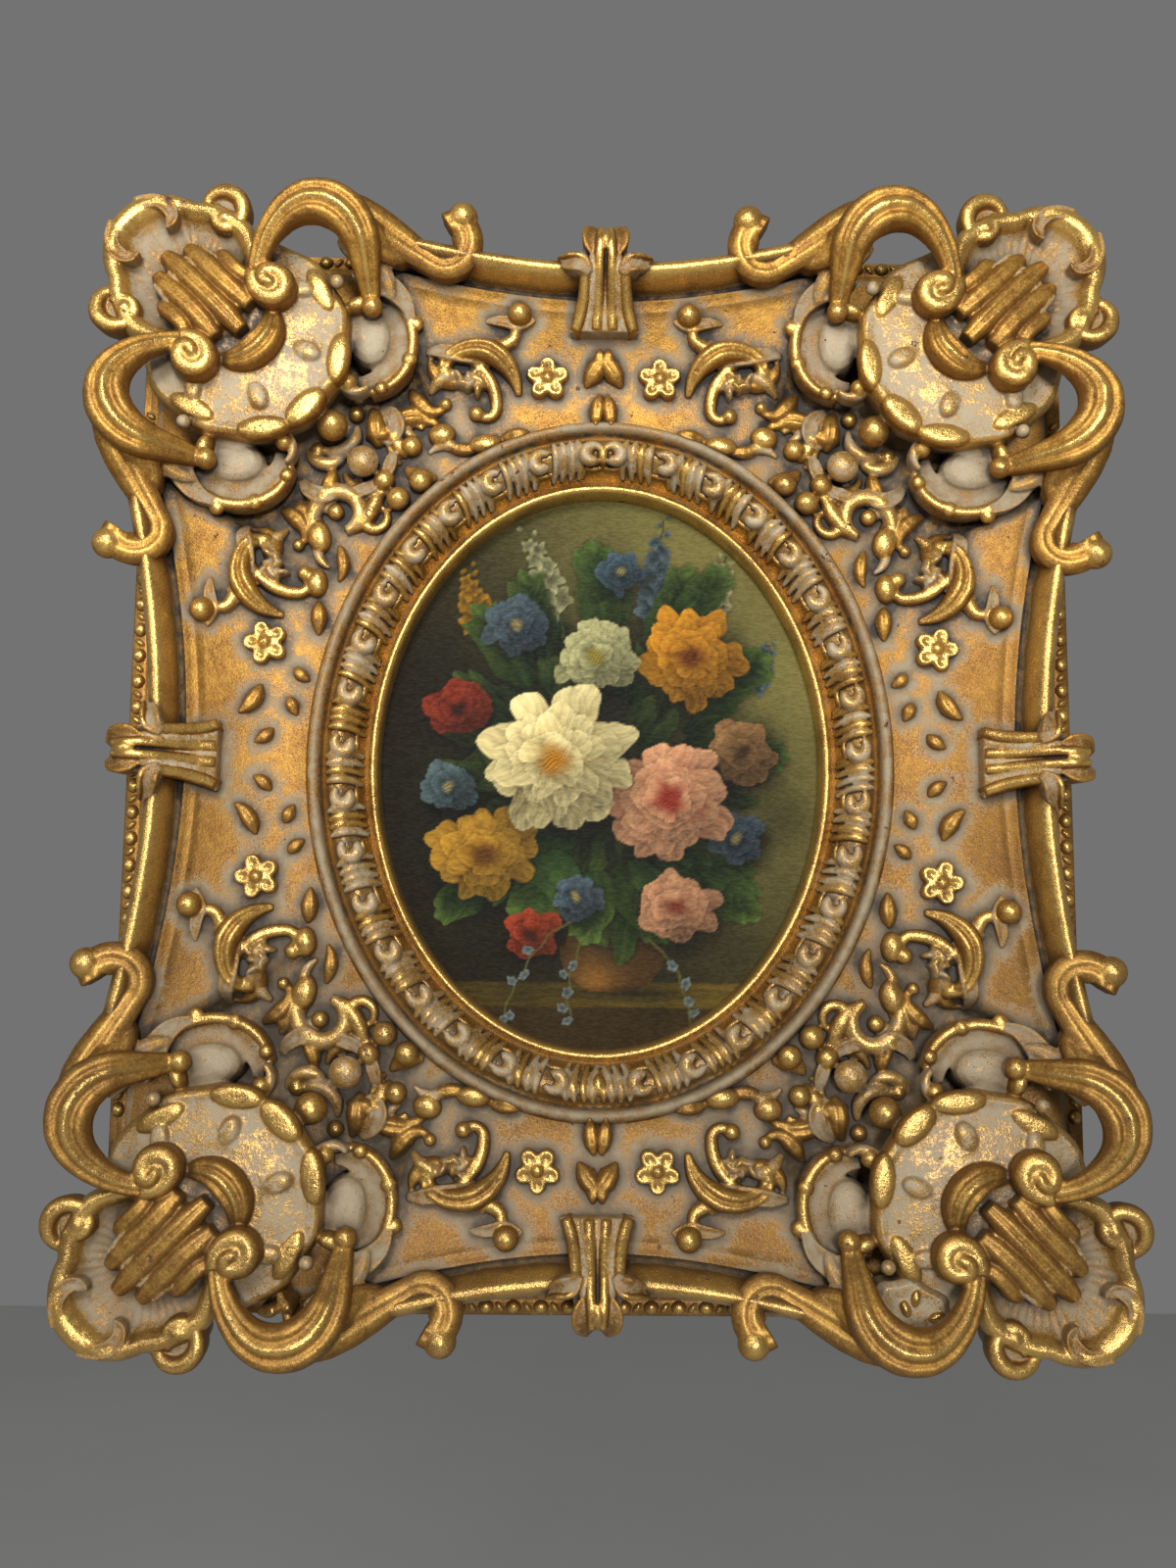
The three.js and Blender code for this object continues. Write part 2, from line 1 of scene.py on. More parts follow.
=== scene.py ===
import random
from math import atan2, cos, exp, hypot, pi, radians, sin, sqrt

import bmesh
import bpy
import numpy as np
from mathutils import Matrix, Vector
from mathutils.bvhtree import BVHTree


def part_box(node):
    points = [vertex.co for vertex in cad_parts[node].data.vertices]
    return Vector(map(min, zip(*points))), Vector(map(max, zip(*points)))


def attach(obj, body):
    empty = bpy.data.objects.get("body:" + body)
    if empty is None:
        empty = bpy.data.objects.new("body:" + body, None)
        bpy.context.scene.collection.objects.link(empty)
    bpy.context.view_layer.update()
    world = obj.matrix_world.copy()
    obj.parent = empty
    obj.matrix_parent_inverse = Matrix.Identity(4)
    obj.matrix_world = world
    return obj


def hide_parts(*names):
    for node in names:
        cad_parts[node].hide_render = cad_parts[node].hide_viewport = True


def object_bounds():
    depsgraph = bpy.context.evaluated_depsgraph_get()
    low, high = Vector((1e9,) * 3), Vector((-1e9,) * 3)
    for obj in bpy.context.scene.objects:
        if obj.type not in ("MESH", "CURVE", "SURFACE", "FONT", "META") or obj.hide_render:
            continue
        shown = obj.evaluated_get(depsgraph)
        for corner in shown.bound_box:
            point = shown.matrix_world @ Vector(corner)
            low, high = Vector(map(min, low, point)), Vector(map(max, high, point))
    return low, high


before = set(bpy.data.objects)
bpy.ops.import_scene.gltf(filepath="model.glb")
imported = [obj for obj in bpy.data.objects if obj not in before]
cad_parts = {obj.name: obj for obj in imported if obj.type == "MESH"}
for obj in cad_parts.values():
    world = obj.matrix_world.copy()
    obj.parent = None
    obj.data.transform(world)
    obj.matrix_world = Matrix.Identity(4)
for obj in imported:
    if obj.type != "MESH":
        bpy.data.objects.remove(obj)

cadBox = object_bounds()
scene = bpy.context.scene
mm = 0.001
print("frame loaded")

# The picture gives the middle, the carved frame's back gives the plane behind everything
pictureLow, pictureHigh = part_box("oil_painting")
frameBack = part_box("carved_frame")[1].y
middleZ = (pictureLow.z + pictureHigh.z) / 2
panelCovered = 6.35             # how much of the panel's edge the frame covers, mm
sightWide = (pictureHigh.x - pictureLow.x) / 2 / mm - panelCovered      # half widths of the oval, mm
sightTall = (pictureHigh.z - pictureLow.z) / 2 / mm - panelCovered

# Camera: the photograph's place and tilt, in mm from the oval's middle
cameraSettings = {"lens": 31.56, "eye": (-9.4, -606.6, -77), "right": (0.9999, -0.0083, 0.0089),
                  "down": (0.0098, 0.117, -0.9931), "ahead": (0.0072, 0.9931, 0.1171)}


def makeCamera(s):
    data = bpy.data.cameras.new("camera")
    data.lens = s["lens"]
    data.sensor_width = 36
    camera = bpy.data.objects.new("camera", data)
    turn = Matrix((s["right"], -Vector(s["down"]), -Vector(s["ahead"]))).transposed().to_4x4()
    camera.matrix_world = Matrix.Translation(Vector(s["eye"]) * mm + Vector((0, 0, middleZ))) @ turn
    scene.collection.objects.link(camera)
    scene.camera = camera


makeCamera(cameraSettings)


# Small tools for carving. A form is made flat on the bench: x and y along the frame, z out of it, in mm.
# Every vertex keeps how high it stands in its own form (crest) and how much leaf it takes (gilt).

def between(values, t):         # a short list read evenly from 0 to 1
    place = min(max(t, 0), 1) * (len(values) - 1)
    low = min(int(place), len(values) - 2)
    return values[low] + (values[low + 1] - values[low]) * (place - low)


def tagged():
    bm = bmesh.new()
    bm.verts.layers.float.new("crest")
    bm.verts.layers.float.new("gilt")
    return bm


def tag(bm, verts, crest, gilt):
    crestLayer, giltLayer = bm.verts.layers.float["crest"], bm.verts.layers.float["gilt"]
    for vert, value in zip(verts, crest):
        vert[crestLayer] = value
        vert[giltLayer] = gilt


def edgesOf(ring):
    inRing = set(ring)
    return [e for v in ring for e in v.link_edges if e.verts[0] == v and e.verts[1] in inRing]


def ringOut(bm, ring):          # extrudes an edge ring and gives the new verts in the same order
    fresh = set(bmesh.ops.extrude_edge_only(bm, edges=edgesOf(ring))["geom"])
    return [next(e.other_vert(v) for e in v.link_edges if e.other_vert(v) in fresh) for v in ring]


def groundAt(x, y):             # depth of the moulding's face under a point
    hit = mouldingTree.ray_cast(Vector((x, y, 200)), Vector((0, 0, -1)))[0]
    return hit.z if hit else moulding["ledge"]


def closeRing(bm, ring):
    bmesh.ops.contextual_create(bm, geom=edgesOf(ring))


def penPath(start, heading, legs, step=1.6):    # a stroke from a point: each leg has a length and a turn
    x, y = start
    angle = radians(heading)
    path = [(x, y, angle)]
    for length, turn in legs:
        pieces = max(2, round(max(length / step, abs(turn) / 14)))
        for _ in range(pieces):
            angle += radians(turn) / pieces / 2
            x += cos(angle) * length / pieces
            y += sin(angle) * length / pieces
            angle += radians(turn) / pieces / 2
            path.append((x, y, angle))
    return path


def sectionOf(kind, count=13):  # across -1..1, height 0..1, then a keel underneath
    top = []
    for i in range(count):
        a = -1 + 2 * i / (count - 1)
        arch = sqrt(max(0, 1 - a * a))
        h = {
            "round": arch,
            "ribs": arch ** 0.8 * (0.5 + 0.5 * abs(cos(pi * 1.5 * a)) ** 0.7),
            "twoRibs": arch ** 0.7 * (0.56 + 0.44 * abs(sin(pi * a)) ** 0.8),
            "leaf": (1 - abs(a) ** 1.8) * 0.9 + 0.1 - 0.34 * exp(-(a / 0.2) ** 2),
            "flute": 0.35 + 0.6 * a * a if abs(a) < 0.97 else 0.55,
            "band": 0.7 + 0.3 * exp(-((abs(a) - 0.72) / 0.16) ** 2) if abs(a) < 0.97 else 0.2,
        }[kind]
        top.append((a, h))
    return top + [(0.8, -1), (0, -1.15), (-0.8, -1)]


def stroke(heap, start, heading, legs, width, depth=None, lift=None, kind="round", gilt=0.9, rise=1,
           sink=3, step=1.5):
    # depth is measured from the back; without it the stroke lies on the moulding, raised by lift widths
    path = penPath(start, heading, legs, step)
    section = sectionOf(kind, 17 if max(width) > 5 else 11)
    bm = tagged()
    ring = bmesh.ops.create_circle(bm, segments=len(section), radius=1, cap_ends=False)["verts"]
    closeRing(bm, ring)
    for i, (x, y, angle) in enumerate(path):
        t = i / (len(path) - 1)
        if i:
            ring = ringOut(bm, ring)
        r = between(width, t)
        base = between(depth, t) if depth else groundAt(x, y) + r * between(lift or (0.25, 0.25), t)
        for vert, (a, h) in zip(ring, section):
            up = h * r * rise if h >= 0 else h * max(r * 0.9, sink)
            vert.co = (x - sin(angle) * a * r, y + cos(angle) * a * r, base + up)
        tag(bm, ring, [max(h, 0) for _, h in section], gilt)
    closeRing(bm, ring)
    addTo(heap, bm)


def pad(heap, centre, long, short, rows, turn=0, gilt=0.9, lobes=0, lobe=0, count=28, reach=None,
        ripple=None):
    # rows: (scale, height) or (scale, height, gilt) from the foot up; ripple: (how many, how high, inside)
    bm = tagged()
    ring = bmesh.ops.create_circle(bm, segments=count, radius=1, cap_ends=False)["verts"]
    closeRing(bm, ring)
    heights = [row[1] for row in rows]
    low, high = min(heights), max(heights)
    c, s = cos(radians(turn)), sin(radians(turn))
    for i, row in enumerate(rows):
        if i:
            ring = ringOut(bm, ring)
        for j, vert in enumerate(ring):
            angle = 2 * pi * j / count
            if reach:
                x, y = cos(angle) * reach(angle) * row[0], sin(angle) * reach(angle) * row[0]
            else:
                swell = row[0] * (1 + lobe * cos(lobes * angle))
                x, y = cos(angle) * long * swell, sin(angle) * short * swell
            lift = ripple[1] * cos(ripple[0] * angle) if ripple and i > 3 and row[0] < ripple[2] else 0
            vert.co = (centre[0] + x * c - y * s, centre[1] + x * s + y * c, row[1] + lift)
        level = (row[1] - low) / max(high - low, 1e-6)
        tag(bm, ring, [level] * count, row[2] if len(row) > 2 else gilt)
    closeRing(bm, ring)
    addTo(heap, bm)


def ball(heap, centre, radius, depth=None, gilt=0.95, tall=1):
    if depth is None:
        depth = groundAt(*centre) + radius * 0.45
    bm = tagged()
    made = bmesh.ops.create_icosphere(bm, subdivisions=3, radius=radius)["verts"]
    for vert in made:
        level = (vert.co.z / radius + 1) / 2
        tag(bm, [vert], [level], gilt)
        vert.co = (vert.co.x + centre[0], vert.co.y + centre[1], depth + vert.co.z * tall)
    addTo(heap, bm)


def addTo(heap, bm):
    bmesh.ops.recalc_face_normals(bm, faces=bm.faces)
    loose = bpy.data.meshes.new("form")
    bm.to_mesh(loose)
    bm.free()
    heap.from_mesh(loose)
    bpy.data.meshes.remove(loose)


def meshOf(bm, name):
    mesh = bpy.data.meshes.new(name)
    bm.to_mesh(mesh)
    bm.free()
    return mesh


def readCo(mesh):
    co = np.empty(len(mesh.vertices) * 3, np.float32)
    mesh.vertices.foreach_get("co", co)
    return co.reshape(-1, 3)


def readNormals(mesh):
    out = np.empty(len(mesh.vertices) * 3, np.float32)
    mesh.vertex_normals.foreach_get("vector", out)
    return out.reshape(-1, 3)


def readValues(mesh, name):
    out = np.zeros(len(mesh.vertices), np.float32)
    mesh.attributes[name].data.foreach_get("value", out)
    return out


def writeValues(mesh, name, values):
    layer = mesh.attributes.get(name) or mesh.attributes.new(name, "FLOAT", "POINT")
    layer.data.foreach_set("value", np.ascontiguousarray(values, np.float32))


def fuse(bm, name, voxel, smooth, triangles):   # melts the loose forms into one skin, as gesso does
    loose = meshOf(bm, name + "_loose")
    holder = bpy.data.objects.new(name + "_loose", loose)
    scene.collection.objects.link(holder)
    remesh = holder.modifiers.new("melt", "REMESH")
    remesh.mode = "VOXEL"
    remesh.voxel_size = voxel
    soften = holder.modifiers.new("soften", "SMOOTH")
    soften.factor = 0.5
    soften.iterations = smooth
    graph = bpy.context.evaluated_depsgraph_get()
    dense = bpy.data.meshes.new_from_object(holder.evaluated_get(graph))
    thin = holder.modifiers.new("thin", "DECIMATE")
    thin.ratio = min(1, triangles / (2 * len(dense.polygons)))
    graph = bpy.context.evaluated_depsgraph_get()
    mesh = bpy.data.meshes.new_from_object(holder.evaluated_get(graph))
    mesh.name = name
    tree = BVHTree.FromPolygons([v.co for v in loose.vertices], [p.vertices for p in loose.polygons])
    crest, gilt = readValues(loose, "crest"), readValues(loose, "gilt")
    rows = np.zeros((len(mesh.vertices), 2), np.float32)
    for i, co in enumerate(readCo(mesh)):
        spot, _, face, _ = tree.find_nearest(Vector(co))
        corners = loose.polygons[face].vertices
        weights = [1 / ((loose.vertices[k].co - spot).length + 0.05) for k in corners]
        share = sum(weights)
        rows[i, 0] = sum(crest[k] * w for k, w in zip(corners, weights)) / share
        rows[i, 1] = sum(gilt[k] * w for k, w in zip(corners, weights)) / share
    writeValues(mesh, "crest", rows[:, 0])
    writeValues(mesh, "gilt", rows[:, 1])
    print(name, "skin", len(dense.polygons) * 2, "->", len(mesh.polygons))
    bpy.data.objects.remove(holder)
    bpy.data.meshes.remove(loose)
    bpy.data.meshes.remove(dense)
    return mesh


# The moulding. Each line runs right round: how far out it lies, its depth from the back, its share of leaf.
# Oval lines are measured from the sight edge, swept lines from the groove, rail lines in from the edge.
moulding = {
    "railHalfWide": 201.4, "railHalfTall": 226.5, "samplesPerSide": 60,
    "sweepAtTop": 200.5, "sweepAtSide": 173.5, "topBow": 0.0019, "sideBow": 0.00125, "cornerReach": 258,
    "torusEndTop": 98, "torusEndSide": 120, "torusFade": 10, "ledge": 25, "panelRows": 22, "panelSag": 2.2,
    "rabbetHalfWide": 102, "rabbetHalfTall": 127.4, "rabbetDepth": 9.3,
    "oval": [(0, 9.3, 0.5), (0, 13, 0.8),
             (0, 16.6, 0.9), (0.5, 18.8, 1), (1.3, 20.2, 1), (2.4, 20.6, 1),
             (3.5, 20.1, 0.95), (4.2, 18.7, 0.5), (4.9, 18.3, 0.4), (5.6, 18.9, 0.75), (6.6, 21.3, 0.7),
             (7.6, 24, 0.7), (8.6, 26.4, 0.5), (10, 28.5, 0.4), (12, 30.3, 0.4), (14, 31.4, 0.5),
             (16, 31.9, 0.6), (18, 31.6, 0.9), (19.4, 30.8, 0.95), (20.6, 29.2, 0.9), (21.5, 28.7, 0.9),
             (22.4, 29.3, 0.8), (22.7, 30.7, 0.55), (23.3, 32.3, 0.3), (24.3, 33.5, 0.12), (25.4, 34, 0.1),
             (26.5, 33.7, 0.12), (27.5, 32.6, 0.3), (28.3, 30.6, 0.7), (29.2, 28.3, 0.8)],
    "swept": [(-8, 40, 0.8), (-7.2, 40.9, 0.7), (-6.6, 41.2, 0.6), (-5.5, 41.5, 0.8), (-4, 42.3, 0.85),
              (-3, 43, 0.9), (-2.5, 43.2, 0.8), (-2, 42.4, 0.5), (-1.2, 41.3, 0.1), (0, 41, 0.1),
              (0.5, 42, 0.5), (0.9, 44.6, 0.9), (1.5, 47.4, 1), (2.3, 50.2, 1), (3.4, 52.7, 1),
              (4.8, 54.6, 1), (6.4, 55.5, 1), (8, 55.2, 1), (9.6, 53.7, 1), (11, 50.6, 0.95),
              (12, 46, 0.9), (12.7, 40, 0.8), (13, 33, 0.5), (13.2, 27, 0.3)],
    "rail": [(7.5, 24.6, 0.5), (6.6, 25.4, 0.8), (5.2, 25.3, 0.7), (1.2, 24.6, 0.6), (0.3, 23.9, 0.7),
             (0, 23, 0.6), (0, 15, 0.3), (0, 7, 0.1), (0, 0.6, 0), (0.6, 0, 0)],
}
cornerAngle = atan2(moulding["railHalfTall"], moulding["railHalfWide"])


def rectangleReach(angle, halfWide, halfTall):
    return min(halfWide / max(abs(cos(angle)), 1e-9), halfTall / max(abs(sin(angle)), 1e-9))


def ovalReach(angle, out):
    p, q = sightWide + out, sightTall + out
    return p * q / hypot(q * cos(angle), p * sin(angle))


def bowReach(toward, across, rise, bow):
    spread = bow * across * across
    inside = toward * toward - 4 * spread * rise
    if inside <= 0:
        return 1e9
    return rise / toward if spread < 1e-9 else (toward - sqrt(inside)) / (2 * spread)


def sweptReach(angle, out, m=moulding):     # the bowed sides and the corner, blended
    c, s = abs(cos(angle)), abs(sin(angle))
    reaches = (bowReach(s, c, m["sweepAtTop"] + out, m["topBow"]),
               bowReach(c, s, m["sweepAtSide"] + out, m["sideBow"]), m["cornerReach"] + out)
    blend = sum(reach ** -14 for reach in reaches) ** (-1 / 14)
    return min(blend, rectangleReach(angle, m["railHalfWide"], m["railHalfTall"]) - 1.2 - (13 - out) * 0.35)


def torusShare(angle, m=moulding):          # 1 where the torus stands, 0 under the corner carving
    reach = sweptReach(angle, 0)
    x, z = abs(cos(angle)) * reach, abs(sin(angle)) * reach
    alongTop = abs(sin(angle)) / m["railHalfTall"] > abs(cos(angle)) / m["railHalfWide"]
    past = (x - m["torusEndTop"] if alongTop else z - m["torusEndSide"]) / m["torusFade"]
    past = min(max(past, 0), 1)
    return 1 - past * past * (3 - 2 * past)


def mouldingAngles(m=moulding):
    n = m["samplesPerSide"]
    half = [cornerAngle * i / n for i in range(n)] + \
           [cornerAngle + (pi / 2 - cornerAngle) * i / n for i in range(n)]
    mirrored = [pi - a for a in reversed(half[1:])]
    upper = half + [pi / 2] + mirrored
    return upper + [a + pi for a in upper]


def squarePoint(i, n):          # a sample's place on a square, with the square's corners on samples
    quarter, along = divmod(i, 2 * n)
    if quarter % 2:
        along = 2 * n - along
    x, z = (1, along / n) if along <= n else ((2 * n - along) / n, 1)
    if quarter % 2:
        x = -x
    return (-x, -z) if quarter > 1 else (x, z)


def makeMoulding(m=moulding):
    angles = mouldingAngles()
    shares = [torusShare(a) for a in angles]
    ovals = m["oval"]
    lines = [([ovalReach(a, out) for a in angles], [depth] * len(angles), gilt)
             for out, depth, gilt in ovals]
    inner, outer = ovals[-1], m["swept"][0]
    for row in range(1, m["panelRows"]):
        t = row / m["panelRows"]
        reaches, depths = [], []
        for a, share in zip(angles, shares):
            far = m["ledge"] + (outer[1] - m["ledge"]) * share
            start, end = ovalReach(a, inner[0]), sweptReach(a, outer[0])
            reaches.append(start + (end - start) * t)
            depths.append(inner[1] + (far - inner[1]) * t ** 1.25 - m["panelSag"] * sin(pi * t))
        lines.append((reaches, depths, 0.8))
    for out, depth, gilt in m["swept"]:
        reaches = [sweptReach(a, out) for a in angles]
        lines.append((reaches, [m["ledge"] + (depth - m["ledge"]) * share for share in shares], gilt))
    for inset, depth, gilt in m["rail"]:
        reaches = [rectangleReach(a, m["railHalfWide"] - inset, m["railHalfTall"] - inset) for a in angles]
        lines.append((reaches, [depth] * len(angles), gilt))
    bm = tagged()
    first = ring = bmesh.ops.create_circle(bm, segments=len(angles), radius=1, cap_ends=False)["verts"]
    for i, (reaches, depths, gilt) in enumerate(lines):
        if i:
            ring = ringOut(bm, ring)
        for vert, angle, reach, depth in zip(ring, angles, reaches, depths):
            vert.co = (cos(angle) * reach, sin(angle) * reach, depth)
        tag(bm, ring, [0.5] * len(ring), gilt)
    n = m["samplesPerSide"]
    for depth in (0, m["rabbetDepth"]):     # the rabbet behind the picture
        ring = ringOut(bm, ring)
        for i, vert in enumerate(ring):
            x, z = squarePoint(i, n)
            vert.co = (x * m["rabbetHalfWide"], z * m["rabbetHalfTall"], depth)
        tag(bm, ring, [0] * len(ring), 0)
    bmesh.ops.bridge_loops(bm, edges=edgesOf(ring) + edgesOf(first))
    bmesh.ops.recalc_face_normals(bm, faces=bm.faces)
    return bm


# Carving of one corner, drawn from the rail's corner: x to the left edge's line and y to the top edge's
# line are 0 there and negative inward. What stands on one side of the diagonal is repeated on the other.
corner = {
    "disc": (-49.3, -49.3), "discReach": 44.5, "discLobes": 11,
    "discRows": [(0.84, 22, 0.1), (0.95, 34, 0.15), (1, 44, 0.3), (0.995, 47.5, 0.5), (0.975, 50, 0.7),
                 (0.93, 51.2, 0.06), (0.87, 50.4, 0), (0.8, 50.9, 0.02), (0.68, 52, 0.12), (0.5, 53, 0.14),
                 (0.3, 53.4, 0.12), (0.12, 53.4, 0.12)],
    "fan": (-28, -28), "fanReach": 35,
    "fanRows": [(0.7, 18, 0.1), (0.9, 42, 0.2), (0.975, 50, 0.7), (0.995, 53.5, 1), (0.985, 56.8, 1),
                (0.945, 59.4, 1), (0.885, 60.4, 1.05), (0.82, 59.8, 1), (0.765, 57.6, 0.8), (0.73, 55, 0.2),
                (0.67, 53, 0.05), (0.58, 52, 0.05), (0.45, 51.4, 0.08), (0.3, 51.4, 0.1)],
    "smallBulk": 1.22, "flankBulk": 1.1, "clusterBulk": 1.3, "voxel": 0.62, "triangles": 138000,
}

slant = 0.7071                  # along the diagonal, a unit's share of each axis
# on the disc: spot, half length, half width, turn
rimLeaves = [((-81, -29), 11, 4.6, 63), ((-89.3, -58.5), 11.5, 4.8, 97), ((-76, -80), 11, 5.4, 135)]
rimBosses = [((-72.5, -29.5), 6.4, 3.8, 0), ((-76.2, -56.5), 6.2, 4, 22)]
# on the shell: how far beside the diagonal, near end, far end, half width
tongues = [(0, -15.5, -50.5, 5.6), (8.6, -18.5, -46.5, 5.2), (-8.6, -18.5, -46.5, 5.2),
           (16, -26, -41, 3.6), (-16, -26, -41, 3.6)]


class Placer:                   # puts a form down as given, or swapped across the corner's diagonal
    def __init__(self, heap, swapped=False, bulk=1):
        self.heap = heap
        self.swapped = swapped
        self.bulk = bulk        # how much wider than drawn

    def spotOf(self, spot):
        return (spot[1], spot[0]) if self.swapped else spot

    def stroke(self, spot, heading, legs, width, **more):
        if self.swapped:
            heading, legs = 90 - heading, [(length, -turn) for length, turn in legs]
        stroke(self.heap, self.spotOf(spot), heading, legs, [w * self.bulk for w in width], **more)

    def leaf(self, *form, **more):
        self.stroke(*form, kind="leaf", **more)

    def flute(self, *form, **more):
        self.stroke(*form, kind="flute", **more)

    def ball(self, spot, radius, **more):
        ball(self.heap, self.spotOf(spot), radius * (1 + (self.bulk - 1) * 0.5), **more)

    def pad(self, spot, long, short, rows, turn=0, **more):
        turn = 90 - turn if self.swapped else turn
        pad(self.heap, self.spotOf(spot), long, short, rows, turn=turn, **more)

    def drop(self, spot, long, short, **more):      # a rounded leaf lying on the ground
        low = groundAt(*self.spotOf(spot))
        rows = [(1, low - 3), (1, low + 1.6), (0.86, low + 3.6), (0.5, low + 5), (0.1, low + 5.5)]
        self.pad(spot, long, short, rows, **more)


def fanOutline(angle, c=corner):
    tilt = angle - radians(45)
    return c["fanReach"] + 9 * max(0, cos(2 * tilt)) * (cos(tilt) > 0) - 9 * max(0, -cos(tilt))


def carveCorner(heap, c=corner):
    pad(heap, c["disc"], c["discReach"], c["discReach"], c["discRows"], lobes=c["discLobes"], lobe=0.014,
        count=88)
    pad(heap, c["fan"], 0, 0, c["fanRows"], count=168, reach=fanOutline, ripple=(42, 0.32, 0.82))
    for swapped in (False, True):
        put = Placer(heap, swapped)
        for spot, long, short, turn in rimLeaves[:2] if swapped else rimLeaves:
            put.pad(spot, long, short, [(1, 46), (0.97, 50.4), (0.84, 52), (0.5, 52.7), (0.1, 52.6)],
                    turn=turn, gilt=0.95, count=20)
        for spot, long, short, turn in rimBosses:
            put.pad(spot, long + 1.4, short + 1.4, [(1, 48), (0.98, 51.2), (0.84, 50.2)], turn=turn,
                    gilt=0.1, count=20)
            put.pad(spot, long, short, [(1, 46), (0.97, 52.6), (0.8, 53.8), (0.4, 54.4)], turn=turn,
                    gilt=0.12, count=20)
    # the gilded crescent that cups the ends of the tongues, two grooves along it
    stroke(heap, (-58.6, -36.8), 231, [(21.5, 81), (21.5, 81)], [0.9, 4.2, 6.4, 7, 6.4, 4.2, 0.9],
           depth=[52, 54.5, 56.5, 57.5, 56.5, 54.5, 52], kind="ribs", gilt=1.15, rise=0.8, sink=7,
           step=1.2)
    pad(heap, (-35.5, -35.5), 20, 14.5, [(1, 44), (0.99, 52.5), (0.9, 55.2), (0.5, 56.4), (0.1, 56.6)],
        turn=45, gilt=0.06, count=36)
    # long gilded tongues with cream hollows between, running from the shell to the crescent
    for off, near, far, wide in tongues:
        spread = off * slant
        start = (near + spread, near - spread)
        length = (near - far) * 2 * slant
        stroke(heap, start, 225 + off * 0.5, [(length * 0.4, -off * 0.8), (length * 0.6, off * 1.1)],
               [wide * 0.5, wide * 0.86, wide * 0.92, wide * 0.9, wide * 0.9, wide * 0.88, wide * 0.6],
               depth=[54, 57, 58.5, 59.6, 60.4, 60.2, 58.4], kind="leaf", gilt=1, rise=0.85, sink=7,
               step=1.3)
    for off in (4.4, -4.4, 12.6, -12.6):    # pale almond shapes in the hollows
        spread = off * slant
        pad(heap, (-27.5 + spread, -27.5 - spread), 9, 2.1,
            [(1, 54), (0.9, 58.6), (0.5, 59.6), (0.1, 59.8)], turn=45, gilt=0.02, count=16)


